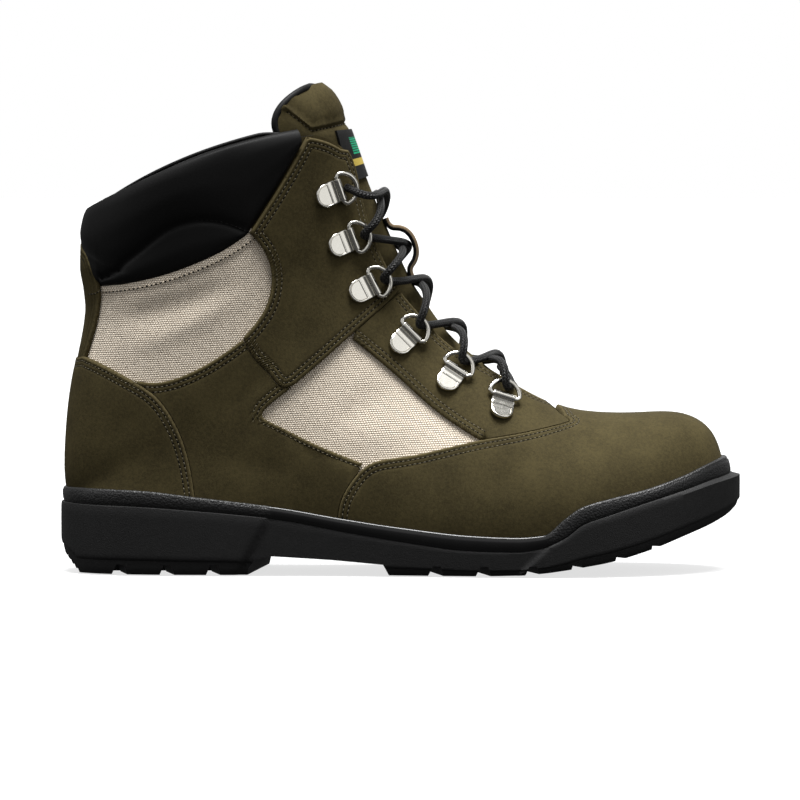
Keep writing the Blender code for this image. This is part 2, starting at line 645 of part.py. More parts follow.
def sheet(name, last, polygons, low, high, material):
    """Closed piece between two distances from the last, over regions given as (s, c)."""
    places, faces = [], []
    for polygon in polygons:
        where, triangles = region_triangles(last, polygon)
        faces.append(triangles + sum(len(p) for p in places))
        places.append(where)
    places = np.vstack(places)
    faces = np.vstack(faces)
    used = np.unique(faces)
    order = np.full(len(places), -1)
    order[used] = np.arange(len(used))
    places = places[used]
    s, c = places[:, 0], places[:, 1]
    faces = without_folds(weld_map(last.facet(s, c), WELD)[order[faces]])
    bottom = last.facet(s, c, low(s, c) if callable(low) else low)
    top = last.facet(s, c, high(s, c) if callable(high) else high)
    count = len(places)
    sides = {(f[i - 1], f[i]) for f in faces for i in range(3)}
    shell = [tuple(f[::-1]) for f in faces]
    shell += [tuple(f + count) for f in faces]
    shell += [(a, b, b + count, a + count) for a, b in sorted(sides) if (b, a) not in sides]
    return make_object(name, *compact(np.vstack([top, bottom]), shell), material)


def loft(name, rings, material, closed, sharp=SHARP_ANGLE):
    """Closed piece through rings of points: round in itself, or with both ends filled."""
    count = len(rings[0])
    points = [p for ring in rings for p in ring]
    faces = []
    steps = len(rings) if closed else len(rings) - 1
    for k in range(steps):
        here, there = k * count, (k + 1) % len(rings) * count
        for i in range(count):
            faces.append((here + i, here + (i + 1) % count, there + (i + 1) % count, there + i))
    if not closed:
        faces.append(tuple(range(count)))
        faces.append(tuple(range(len(points) - count, len(points))))
    return make_object(name, points, faces, material, sharp)


def material(name, colour, roughness, metallic=0.0):
    slot = bpy.data.materials.new(name)
    slot.use_nodes = True
    shader = slot.node_tree.nodes["Principled BSDF"]
    shader.inputs["Base Color"].default_value = colour
    shader.inputs["Roughness"].default_value = roughness
    shader.inputs["Metallic"].default_value = metallic
    slot.diffuse_color = colour
    return slot


def side_levels(levels):
    """Points and faces of a body around the sole: the first and last level are closed across."""
    points, faces = [], []
    count = len(SOLE_COLUMNS)
    loop = 2 * count - 2
    for level in levels:
        outer = [level(column, -1) for column in SOLE_COLUMNS]
        inner = [level(column, 1) for column in SOLE_COLUMNS[1:-1]]
        points += outer + inner[::-1]
    for k in range(len(levels) - 1):
        for i in range(loop):
            j = (i + 1) % loop
            faces.append((k * loop + i, k * loop + j, (k + 1) * loop + j, (k + 1) * loop + i))
    return points, faces, loop


def cap_across(first, loop):
    """Faces across a level, from the outer to the inner side."""
    faces = []
    half = loop // 2
    for i in range(half):
        ring = [i, i + 1, (loop - i - 1) % loop, (loop - i) % loop]
        kept = [v for n, v in enumerate(ring) if v not in ring[:n]]
        faces.append(tuple(first + v for v in kept))
    return faces


def sole_side():
    x = [row.x for row in SOLE_SIDE]
    return {name: steady_curve(x, [getattr(row, name) for row in SOLE_SIDE]) for name in SideRow._fields[1:]}


def prism(profile, y_start, y_end, skew):
    """Points and faces of a bar across the boot with a profile in x and z."""
    points = [(x + skew * y, y, z) for y in (y_start, y_end) for x, z in profile]
    return points, bar_faces(len(profile))


def bar_faces(count):
    """Faces of a bar between two ends of count points each."""
    faces = [tuple(range(count)), tuple(range(2 * count - 1, count - 1, -1))]
    return faces + [(i, i + count, (i + 1) % count + count, (i + 1) % count) for i in range(count)]


def tread_cutters(side):
    """Notches, grooves and arch that leave the lugs standing."""
    cutters = []

    def channel(width, floor, depth):
        return ((-width, -CUT_BELOW), (-width / 2, 0.0), (-floor / 2, depth), (floor / 2, depth),
                (width / 2, 0.0), (width, -CUT_BELOW))

    def notch(x, y_start, y_end, skew, depth):
        rise = float(side["tread"](x))
        slope = math.atan2(float(side["tread"](x + NOTCH_WIDTH) - rise), NOTCH_WIDTH)
        ahead, up = math.cos(slope), math.sin(slope)
        section = channel(NOTCH_WIDTH, NOTCH_TOP, depth)
        turned = [(x + u * ahead - w * up, rise + u * up + w * ahead) for u, w in section]
        return prism(turned, y_start, y_end, skew)

    for x in HEEL_NOTCHES + FORE_NOTCHES:
        middle = x - NOTCH_SKEW * HALF_BREADTH
        for which in (-1, 1):
            span = sorted((which * LUG_INNER, which * CUT_REACH))
            cutters.append(notch(middle, *span, which * NOTCH_SKEW, LUG_DEPTH))
    for x in CENTRE_NOTCHES:
        cutters.append(notch(x, -CENTRE_REACH, CENTRE_REACH, 0.0, LUG_DEPTH - 0.4))
    cutters.append(prism(ARCH_PROFILE, -CUT_REACH, CUT_REACH, ARCH_SKEW))
    section = channel(GROOVE_WIDTH, GROOVE_FLOOR, LUG_DEPTH - 0.7)
    for start, end in GROOVE_SPANS:
        places = np.linspace(start, end, 5)
        for y in (-GROOVE_PLACE, GROOVE_PLACE):
            for a, b in zip(places, places[1:]):
                ends = ((a - 0.4, float(side["tread"](a))), (b + 0.4, float(side["tread"](b))))
                points = [(x, y + u, rise + w) for x, rise in ends for u, w in section]
                cutters.append((points, bar_faces(len(section))))
    return cutters


def build_outsole(plan, last, side, rubber):
    def level(inset, height, stepped):
        def at(column, which):
            x = column.x
            z = height(x)
            if column.slope:
                x = column.x + column.slope * (z - float(side["ledge"](column.x)))
                z = height(x)
            step = WAIST_STEP * column.step if stepped else 0.0
            flat = plan.point(x, which, inset(x) + step)
            return (flat[0], flat[1], z)
        return at

    def bed_edge(column, which):
        flat = plan.point(column.x, which, BED_INSET)
        return (flat[0], flat[1], float(last.bed(flat[0])) - BED_CLEARANCE)

    def mixed(part):
        return lambda x: float(side["tread"](x) + part * (side["ledge"](x) - side["tread"](x)))

    levels = (
        bed_edge,
        level(lambda x: float(side["ledge_in"](x)) + BED_WALL, lambda x: float(side["ledge"](x)), False),
        level(lambda x: float(side["ledge_in"](x)), lambda x: float(side["ledge"](x)), True),
        level(lambda x: 0.0, mixed(0.62), True),
        level(lambda x: 0.6, lambda x: float(side["tread"](x)) + 2.4, True),
        level(lambda x: 2.2, lambda x: float(side["tread"](x)), True),
    )
    points, faces, loop = side_levels(levels)
    faces += cap_across(0, loop)
    faces += cap_across(loop * (len(levels) - 1), loop)
    outsole = make_object("outsole", points, faces, rubber)
    points, faces = [], []
    for cutter_points, cutter_faces in tread_cutters(side):
        faces += [tuple(v + len(points) for v in f) for f in cutter_faces]
        points += cutter_points
    cutter = make_object("tread_cutter", points, faces, None)
    return join_flat(boolean(outsole, "DIFFERENCE", cutter, own=True), FLAT_ANGLE)


def build_rand(plan, last, side, rubber):
    def ring(inset, height):
        def at(column, which):
            flat = plan.point(column.x, which, inset(column.x))
            return (flat[0], flat[1], height(column.x))
        return at

    def ledge(x):
        return float(side["ledge"](x)) + GAP

    def wall(x):
        return float(side["ledge_in"](x)) + BED_WALL - GAP

    def rim(drop):
        return lambda x: float(side["rim"](x)) - drop

    def rim_in(extra):
        return lambda x: float(side["rim_in"](x)) + extra

    levels = (
        ring(wall, ledge),
        ring(wall, lambda x: max(ledge(x), float(last.bed(x))) + GAP),
        ring(rim_in(9.0), rim(0.0)),
        ring(rim_in(0.6), rim(0.0)),
        ring(rim_in(0.0), rim(0.9)),
        ring(lambda x: float(side["ledge_in"](x)) + 0.5, ledge),
    )
    points, faces, loop = side_levels(levels)
    end = loop * (len(levels) - 1)
    faces += [(end + i, end + (i + 1) % loop, (i + 1) % loop, i) for i in range(loop)]
    rand = make_object("rand", points, faces, rubber)
    boolean(rand, "DIFFERENCE", last_form(last, PANEL_THICKNESS + OVERLAP_STEP + 2 * GAP))
    return join_flat(rand, FLAT_ANGLE)


def last_form(last, distance):
    """The closed last, made larger by a distance."""
    rings = [last.facet(s, last.around, distance) for s in last.rows[last.rows <= TOPLINE]]
    points = np.vstack(rings)
    count = len(rings[0])
    faces = []
    for i in range(count):
        j = (i + 1) % count
        for k in range(len(rings) - 1):
            here, there = k * count, (k + 1) * count
            if last.around[i] < 0:
                faces += [(here + i, there + i, there + j), (here + i, there + j, here + j)]
            else:
                faces += [(here + i, there + i, here + j), (here + j, there + i, there + j)]
    lid = range(len(points) - count, len(points) - 1)
    faces += [(lid[0], lid[i], lid[i + 1]) for i in range(1, count - 2)]
    faces = without_folds(weld_map(points, WELD)[np.array(faces)])
    return make_object("last_form", *compact(points, faces), None)


def build_insole(plan, last, lining):
    def level(extra, rise):
        def at(column, which):
            flat = plan.point(column.x, which, INSOLE_INSET + extra)
            return (flat[0], flat[1], float(last.bed(flat[0])) + rise)
        return at

    levels = (level(0.0, GAP - BED_CLEARANCE), level(1.0, INSOLE_THICKNESS))
    points, faces, loop = side_levels(levels)
    faces += cap_across(0, loop) + cap_across(loop, loop)
    return make_object("insole", points, faces, lining)


def build_panels(last, throat, leather):
    first = (GAP, GAP + PANEL_THICKNESS)
    second = (GAP, GAP + PANEL_THICKNESS + OVERLAP_STEP)
    counter_run = smooth_run(COUNTER_EDGE, 2)
    vamp_run = smooth_run(VAMP_EDGE, 2)
    counter = last.trace(counter_run)
    counter[0, 1] = counter[-1, 1] = -1.0
    sheet("heel_counter", last, [counter, mirrored(counter)], *second, leather)

    vamp = last.trace(vamp_run)
    vamp[0, 1] = -1.0
    half = np.vstack([[[0.0, -1.0]], vamp])
    sheet("vamp", last, [np.vstack([half, [[VAMP_END, 0.0]], mirrored(half)])], *second, leather)

    strip = last.trace(smooth_run(STRIP_EDGE, 1))
    foot = counter[0] + np.array([0.02, 0.0])
    tab = last.trace([(-160.0, 141.5)])
    tab[0, 1] = strip[-1, 1] = -1.0
    strip[0, 0] = foot[0]
    strip = np.vstack([[foot], strip[:-1], tab])

    def strip_low(s, c):
        return GAP + np.interp(s, STRIP_LIFT_S, STRIP_LIFT)

    def strip_high(s, c):
        return strip_low(s, c) + PANEL_THICKNESS

    sheet("heel_strip", last, [strip, mirrored(strip)], strip_low, strip_high, leather)

    behind = shift_run(counter_run, GAP)
    ahead = shift_run(vamp_run, GAP)
    corner = smooth_run(ANKLE_CORNER, 2)
    floor = smooth_run(ANKLE_FLOOR, 2)
    rear = last.trace(behind[behind[:, 0] > WINDOW_FLOOR[-1][0] + 1.0][::-1])
    front = last.trace(ahead[ahead[:, 0] < QUARTER_FRONT[0][0] - 1.0][::-1])
    rear[0, 1] = front[-1, 1] = -1.0
    under_ankle = shift_run(corner, -GAP)[1:-1]
    quarter = np.vstack([
        rear,
        last.trace(smooth_run(WINDOW_FLOOR, 2)[::-1]),
        last.trace(under_ankle),
        last.trace(smooth_run(QUARTER_FRONT, 2)[::-1]),
        front,
    ])
    ankle_end = last.locate(*ANKLE_FLOOR[-1])[0]
    ankle_top = last.locate(*ANKLE_TOP[0])[0]
    edge_s = [row.s for row in THROAT if ankle_end + 0.2 < row.s < ankle_top - 0.1]
    ankle = np.vstack([
        last.trace(smooth_run(WINDOW_FRONT, 2)),
        last.trace(corner[1:]),
        last.trace(floor[1:-1]),
        throat(np.array([ankle_end + 0.06] + edge_s)),
        last.trace(smooth_run(ANKLE_TOP, 1)),
        last.trace(smooth_run(COLLAR_FRONT, 2)[1:-1]),
    ])
    edge_s = [row.s for row in THROAT if 6.4 < row.s < ankle_end - 0.2][::-1]
    eyestay = np.vstack([
        last.trace(shift_run(floor, -GAP)[floor[:, 0] > -20.0][:-1]),
        throat(np.array([ankle_end - 0.06] + edge_s)),
        last.trace(ahead[ahead[:, 0] > EYESTAY_FLOOR[0][0] + 1.0][::-1]),
        last.trace(smooth_run(EYESTAY_FLOOR, 2)),
    ])
    panels = {"quarter": (quarter, first), "ankle_panel": (ankle, second), "eyestay": (eyestay, first)}
    for name, (places, layer) in panels.items():
        sheet(name + "_lateral", last, [places], *layer, leather)
        sheet(name + "_medial", last, [mirrored(places)], *layer, leather)


def build_collar(last, lining):
    """Padded cuff: outside pad, roll over the topline and lining pad, closed around the shell's edge."""
    back = last.trace([(-160.0, WINDOW_TOP[0][1])])
    back[0, 1] = -1.0
    front_run = shift_run(smooth_run(COLLAR_FRONT, 2), -2 * GAP)[::-1]
    edge = np.vstack([back, last.trace(smooth_run(WINDOW_TOP, 2)[:-1]), last.trace(front_run)])
    start = np.interp(TOPLINE - COLLAR_FRONT_HEIGHT, edge[:, 0][-6:], edge[:, 1][-6:])
    half = np.array([start, -0.34, -0.37, -0.43, -0.5, -0.58, -0.66, -0.745, -0.83, -0.915])
    columns = np.concatenate([half, [-1.0], -half[::-1]])
    rings = []
    for c in columns:
        low = float(np.interp(-abs(c), edge[:, 1], edge[:, 0]))
        full = np.interp(abs(c), COLLAR_PAD_AROUND, COLLAR_PAD_SHARE)
        tall = TOPLINE - low
        up = last.facet(TOPLINE, c) - last.facet(TOPLINE - 0.2, c)
        up /= np.linalg.norm(up)
        inner = -(SHELL_WALL + 1.5 * GAP)
        lining_depth = inner - COLLAR_LINING * full
        drop = min(COLLAR_LINING_DROP, tall + 0.4)
        swell = max(full, 0.55)
        ring = [last.facet(low + tall * row.height, c, GAP + row.thickness * swell) for row in COLLAR_PAD]
        ring.append(last.facet(TOPLINE, c, GAP + 3.2 * full) + up * COLLAR_ROLL * 0.8)
        ring.append(last.facet(TOPLINE, c, -SHELL_WALL / 2) + up * COLLAR_ROLL)
        ring.append(last.facet(TOPLINE, c, inner - 2.6 * full) + up * COLLAR_ROLL * 0.7)
        ring.append(last.facet(TOPLINE - 0.15 * drop, c, lining_depth))
        ring.append(last.facet(TOPLINE - 0.6 * drop, c, lining_depth))
        ring.append(last.facet(TOPLINE - drop, c, inner - 0.8))
        ring.append(last.facet(TOPLINE - drop, c, inner))
        ring.append(last.facet(TOPLINE, c, inner) + up * GAP)
        ring.append(last.facet(TOPLINE, c, 1.5 * GAP) + up * GAP)
        ring.append(last.facet(low + 0.5 * tall, c, 1.5 * GAP))
        ring.append(last.facet(low, c, GAP))
        rings.append(ring)
    return loft("collar", rings, lining, closed=False, sharp=60.0)


def build_tongue(last, throat, slots):
    low = last.at_width([row.s for row in TONGUE_LOW], [row.width for row in TONGUE_LOW])
    side = np.vstack([low, last.trace(smooth_run(TONGUE_TOP, 1))])

    def crown(s, c):
        reach = np.abs(throat(np.clip(s, THROAT[0].s, 17.2))[:, 1])
        swell = np.clip(s - THROAT_END - 0.2, 0.0, 1.0) * np.clip(1 - (c / reach) ** 2, 0.0, None)
        return -TONGUE_DEPTH + TONGUE_CROWN * swell

    def under(s, c):
        return np.minimum(crown(s, c) - 3.0, -TONGUE_DEPTH - TONGUE_THICKNESS * 0.8)

    sheet("tongue", last, [np.vstack([side, mirrored(side)])], under, crown, slots["leather"])
    label = np.stack([LABEL_ROWS, -np.array(LABEL_HALF)], -1)
    label = np.vstack([label, mirrored(label)])
    sheet("tongue_label", last, [label], lambda s, c: crown(s, c) + GAP,
          lambda s, c: crown(s, c) + GAP + LABEL_THICKNESS, slots["lining"])

    middle = crossing_row(last, KEEPER_ROW)
    base = -TONGUE_DEPTH + TONGUE_CROWN
    line = [last.facet(middle + row.away, 0.0, base + row.rise) for row in KEEPER_LOOP]
    rings = []
    for i, here in enumerate(line):
        ahead = line[min(i + 1, len(line) - 1)] - line[max(i - 1, 0)]
        across = np.array([0.0, 1.0, 0.0])
        out = np.cross(across, ahead)
        out *= KEEPER_THICKNESS / 2 / np.linalg.norm(out)
        wide = across * KEEPER_WIDTH / 2
        rings.append([here - wide - out, here + wide - out, here + wide + out, here - wide + out])
    loft("lace_keeper", rings, slots["leather"], closed=False)


def crossing_row(last, row):
    """Section of the last where the crossing below a row of rings has its middle."""
    rows = RING_PLACES[row:row + 2]
    return float(np.mean([last.locate(place.ring_x, place.ring_z)[0] for place in rows]))


def ring_mesh(nickel):
    """D-shaped wire: straight bar along y, bow towards +x."""
    path = [(0.0, -RING_HALF_WIDTH + RING_CORNER), (0.0, RING_HALF_WIDTH - RING_CORNER)]
    for turn in np.linspace(math.pi / 2, -math.pi / 2, 6):
        reach = RING_CORNER + (RING_REACH - RING_CORNER) * math.cos(turn)
        path.append((reach, RING_HALF_WIDTH * math.sin(turn)))
    path = np.array(path)
    wire = np.arange(5) * math.pi / 2.5
    rings = []
    for i, here in enumerate(path):
        along = path[(i + 1) % len(path)] - path[i - 1]
        along /= np.linalg.norm(along)
        wide = WIRE_RADIUS * np.cos(wire)
        ring = (here[0] + along[1] * wide, here[1] - along[0] * wide, WIRE_RADIUS * np.sin(wire))
        rings.append(np.stack(ring, -1))
    return loft("ring", rings, nickel, closed=True)


def clip_mesh(nickel):
    """Strip folded around the ring's bar (at the origin, along y), with a rounded plate towards -x."""
    eye = WIRE_RADIUS + 1.4 * GAP
    outer = eye + CLIP_STRIP
    half = CLIP_WIDTH / 2
    plan = [(0.0, -half), (0.0, half)]
    for turn in np.linspace(math.pi / 2, -math.pi / 2, 5):
        plan.append((-CLIP_LENGTH + half * (1 - math.cos(turn)), half * math.sin(turn)))
    plate = [(x, y, z - outer) for z in (0.0, CLIP_THICKNESS) for x, y in plan]
    clip = make_object("clip", plate, bar_faces(len(plan)), nickel)
    around = np.arange(6) * math.pi / 3

    def drum(radius, reach):
        rings = [[(radius * math.cos(a), y, radius * math.sin(a)) for a in around] for y in (-reach, reach)]
        return loft("drum", rings, None, closed=False)

    boolean(clip, "UNION", drum(outer, half))
    return boolean(clip, "DIFFERENCE", drum(eye, half + 1.0))


def ring_frames(last):
    """For each ring on the outer side, the frame of its bar: x towards the ring, z out of the boot."""
    frames = []
    eye = WIRE_RADIUS + 1.4 * GAP + CLIP_STRIP
    for row in RING_PLACES:
        plate = last.locate(row.plate_x, row.plate_z)
        ring = last.locate(row.ring_x, row.ring_z)
        place = plate + (ring - plate) * 0.55
        layer = PANEL_THICKNESS + (OVERLAP_STEP if row.plate_z > 115.0 else 0.0)
        out = last.normal(*place)
        forward = last.surface(*ring) - last.surface(*plate)
        forward -= out * forward.dot(out)
        forward /= np.linalg.norm(forward)
        across = np.cross(out, forward)
        origin = last.surface(*place) + out * (GAP + layer + GAP + eye)
        frames.append((origin, forward, across, out))
    return frames


def mirror_frame(frame):
    origin, forward, across, out = (v * np.array([1.0, -1.0, 1.0]) for v in frame)
    return origin, forward, -across, out


def placed(frame):
    origin, forward, across, out = frame
    turn = np.stack([forward, across, out], -1)
    matrix = Matrix([list(row) for row in turn]).to_4x4()
    matrix.translation = Vector(origin * MM)
    return matrix


def build_rings(last, nickel):
    ring, clip = ring_mesh(nickel), clip_mesh(nickel)
    tilt = Matrix.Rotation(-math.radians(RING_TILT), 4, "Y")
    frames = {"lateral": ring_frames(last)}
    frames["medial"] = [medial_frame(last, frame) for frame in frames["lateral"]]
    for which, rows in frames.items():
        for i, frame in enumerate(rows):
            for pattern, turn in ((ring, tilt), (clip, Matrix.Identity(4))):
                name = pattern.name + "_" + which + "_" + str(i + 1)
                piece = bpy.data.objects.new(name, pattern.data)
                piece.matrix_world = placed(frame) @ turn
                bpy.context.scene.collection.objects.link(piece)
    bpy.data.objects.remove(ring)
    bpy.data.objects.remove(clip)
    return frames


def medial_frame(last, frame):
    """Same place on the inner side, moved with the last's own middle line."""
    origin, forward, across, out = mirror_frame(frame)
    s, c = last.locate(frame[0][0], frame[0][2])
    shift = last.surface(s, -c)[1] + last.surface(s, c)[1]
    return origin + np.array([0.0, shift, 0.0]), forward, across, out


def tube(path, radius, sides):
    """Rings of points of a round cord along a path."""
    path = np.asarray(path, float)
    along = np.gradient(path, axis=0)
    along /= np.linalg.norm(along, axis=1, keepdims=True)
    rings = []
    for here, direction in zip(path, along):
        level = np.cross(direction, [1.0, 0.0, 0.3])
        level /= np.linalg.norm(level)
        rise = np.cross(direction, level)
        rings.append([here + radius * (math.cos(a) * level + math.sin(a) * rise)
                      for a in np.arange(sides) * 2 * math.pi / sides])
    return rings


def strand(start, end, middle):
    """Rings of points of a lace from one ring over the middle of the throat to another ring."""
    points = np.array([start, middle, end])
    bow = np.array([0.0, 0.5, 1.0])
    across = np.linspace(0.0, 1.0, LACE_STEPS)
    path = np.stack([spline(bow, points[:, k])(across) for k in range(3)], -1)
    return tube(path, LACE_RADIUS, LACE_SIDES)


def build_laces(last, frames, lace):
    """Bar at the lowest rings and a crossing between each two rows."""
    tilt = math.radians(RING_TILT)
    reach = RING_REACH * math.cos(tilt) + WIRE_RADIUS + 3 * GAP
    rise = RING_REACH * math.sin(tilt) + 0.6

    def end(which, row, shift):
        origin, forward, across, out = frames[which][row]
        up = across if across[2] > 0 else -across
        return origin + forward * reach + out * rise + up * shift

    def middle(row, rise):
        return last.facet(crossing_row(last, row), 0.0, -TONGUE_DEPTH + TONGUE_CROWN + rise)

    for row, (over, below) in enumerate(LACE_OVER):
        down = end("lateral", row, -LACE_SPREAD), end("medial", row + 1, LACE_SPREAD)
        back = end("medial", row, -LACE_SPREAD), end("lateral", row + 1, LACE_SPREAD)
        first = strand(*down, middle(row, over))
        second = strand(*back, middle(row, below))
        piece = loft("lace_crossing_" + str(row + 1), first, lace, closed=False)
        boolean(piece, "UNION", loft("strand", second, None, closed=False))
    lowest = len(RING_PLACES) - 1
    ends = end("lateral", lowest, -LACE_SPREAD), end("medial", lowest, -LACE_SPREAD)
    loft("lace_bar", strand(*ends, middle(lowest, LACE_BAR_RISE)), lace, closed=False)


def build():
    for old in list(bpy.data.objects):
        bpy.data.objects.remove(old)
    plan = SolePlan(SOLE_OUTLINE)
    last = Last(SECTIONS, plan)
    side = sole_side()
    slots = {
        "rubber": material("sole_rubber", BLACK_RUBBER, 0.6),
        "rand": material("rand_rubber", RAND_RUBBER, 0.4),
        "leather": material("olive_nubuck", OLIVE_LEATHER, 0.85),
        "canvas": material("beige_canvas", BEIGE_CANVAS, 0.9),
        "lining": material("black_lining", BLACK_LINING, 0.6),
        "nickel": material("nickel_wire", NICKEL, 0.25, 1.0),
        "lace": material("black_lace", LACE_BLACK, 0.8),
        "footbed": material("footbed_foam", FOOTBED, 0.9),
    }
    build_outsole(plan, last, side, slots["rubber"])
    build_rand(plan, last, side, slots["rand"])
    build_insole(plan, last, slots["footbed"])

    half_gap = spline([row.s for row in THROAT], [row.width for row in THROAT])

    def throat(s):
        return last.at_width(s, half_gap(s))

    edge = throat(np.array([row.s for row in THROAT][::-1]))
    opening = np.vstack([edge, [[THROAT_END, 0.0]]])
    corners = np.array([[0.0, -1.0], [TOPLINE, -1.0]])
    whole = np.vstack([corners, opening, mirrored(opening)[1:], mirrored(corners)])
    sheet("upper", last, [whole], -SHELL_WALL, 0.0, slots["canvas"])
    build_panels(last, throat, slots["leather"])
    build_collar(last, slots["lining"])
    build_tongue(last, throat, slots)
    frames = build_rings(last, slots["nickel"])
    build_laces(last, frames, slots["lace"])


build()
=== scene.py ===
"""Looks of the field boot: leather panels, canvas, padded collar, rings, lace and moulded sole.

The boot stands on z = 0 with its toe along +X and the inner side of the foot along +Y.
Every piece of the upper follows one last surface. Its sections are counted by s from the toe tip, and around
a section c goes from -1 (outer side, bottom or back) over 0 (ridge) to 1 (inner side).
Sizes are in millimetres and become metres when a mesh is made.
"""

import json
import math
from collections import namedtuple

import bmesh
import bpy
import numpy as np
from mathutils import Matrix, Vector
from mathutils.geometry import delaunay_2d_cdt
from mathutils.kdtree import KDTree

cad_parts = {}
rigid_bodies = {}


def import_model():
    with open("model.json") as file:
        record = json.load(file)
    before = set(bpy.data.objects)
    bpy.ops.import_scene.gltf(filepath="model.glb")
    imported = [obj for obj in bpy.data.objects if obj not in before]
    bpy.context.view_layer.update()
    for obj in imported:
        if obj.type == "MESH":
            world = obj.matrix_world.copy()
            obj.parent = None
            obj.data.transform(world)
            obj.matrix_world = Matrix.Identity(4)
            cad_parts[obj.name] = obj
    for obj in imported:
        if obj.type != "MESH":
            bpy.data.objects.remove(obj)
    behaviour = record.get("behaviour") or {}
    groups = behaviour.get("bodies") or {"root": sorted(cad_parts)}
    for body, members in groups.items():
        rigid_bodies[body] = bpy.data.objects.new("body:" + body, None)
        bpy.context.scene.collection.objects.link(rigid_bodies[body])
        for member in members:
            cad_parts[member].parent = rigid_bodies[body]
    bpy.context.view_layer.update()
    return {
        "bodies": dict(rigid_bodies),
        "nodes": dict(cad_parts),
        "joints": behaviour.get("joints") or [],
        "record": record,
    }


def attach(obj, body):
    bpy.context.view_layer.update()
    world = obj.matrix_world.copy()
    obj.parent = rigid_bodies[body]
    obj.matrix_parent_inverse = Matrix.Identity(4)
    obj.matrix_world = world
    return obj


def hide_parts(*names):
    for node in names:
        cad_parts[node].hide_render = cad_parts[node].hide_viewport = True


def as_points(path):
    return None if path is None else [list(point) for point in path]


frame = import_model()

MM = 0.001
GAP = 0.3
SIDE_VIEW = [0, 2]

SHELL_WALL = 2.2
PANEL_THICKNESS = 1.7
OVERLAP_STEP = 0.6
FEATHER_INSET = 6.6
TONGUE_THICKNESS = 5.0
TONGUE_DEPTH = 5.0
TONGUE_CROWN = 3.5
LABEL_THICKNESS = 0.8

# Leather edges: how far they are rounded, and the stitch rows in from the edge.
EDGE_STEP = 1.1
EDGE_ROUND = 1.1
EDGE_LOOPS = (0.35, 0.8, 1.3, 1.7, 2.0, 2.3, 2.7, 3.2, 3.7, 4.0, 4.3, 4.8, 5.6)
STITCH_ROWS = (2.0, 4.1)
STITCH_GROOVE = 0.32
STITCH_SPREAD = 0.5
STITCH_PITCH = 2.15

WAIST_STEP = 1.2
BED_WALL = 2.3
BED_INSET = 3.1
BED_CLEARANCE = 0.7
LUG_DEPTH = 4.3
LUG_INNER = 15.0
NOTCH_WIDTH = 6.4
NOTCH_TOP = 3.2
NOTCH_SKEW = 0.2
HALF_BREADTH = 50.0
CENTRE_REACH = 16.0
GROOVE_WIDTH = 5.0
GROOVE_FLOOR = 2.8
GROOVE_PLACE = 13.6
GROOVE_SPANS = ((-137.0, -66.0), (0.0, 122.0))
CUT_REACH = 62.0
CUT_BELOW = 6.0
SOLE_SHARP = 32.0

WIRE_RADIUS = 1.0
RING_HALF_WIDTH = 6.8
RING_REACH = 7.8
RING_CORNER = 1.2
RING_TILT = math.radians(16.0)
CLIP_WIDTH = 10.2
CLIP_LENGTH = 12.0
CLIP_THICKNESS = 1.3
CLIP_STRIP = 0.5
# Rolled rim of the clip's plate: how far in from the outline, and height over the plate's top.
RimRow = namedtuple("RimRow", "inset rise")
PLATE_RIM = (RimRow(0.0, -1.3), RimRow(0.0, -0.3), RimRow(0.1, -0.1), RimRow(0.3, 0.0), RimRow(0.65, 0.0),
             RimRow(0.95, -0.3), RimRow(1.07, -0.08))
PLATE_NECK = -4.3
LACE_RADIUS = 1.75

PlanPoint = namedtuple("PlanPoint", "place x y")
SOLE_OUTLINE = (
    PlanPoint("heel back", -150.0, 0.0),
    PlanPoint("heel corner, outer", -139.0, -27.5),
    PlanPoint("heel, outer", -110.0, -40.0),
    PlanPoint("waist, outer", -45.0, -41.0),
    PlanPoint("behind ball, outer", 15.0, -48.5),
    PlanPoint("ball, outer", 60.0, -53.0),
    PlanPoint("toe, outer", 107.0, -44.6),
    PlanPoint("toe corner, outer", 137.5, -22.0),
    PlanPoint("toe tip", 150.0, 6.0),
    PlanPoint("toe corner, inner", 139.5, 32.0),
    PlanPoint("toe, inner", 112.0, 48.3),
    PlanPoint("ball, inner", 72.0, 53.0),
    PlanPoint("behind ball, inner", 22.0, 43.5),
    PlanPoint("waist, inner", -35.0, 36.0),
    PlanPoint("heel, inner", -105.0, 38.5),
    PlanPoint("heel corner, inner", -138.5, 27.0),
)

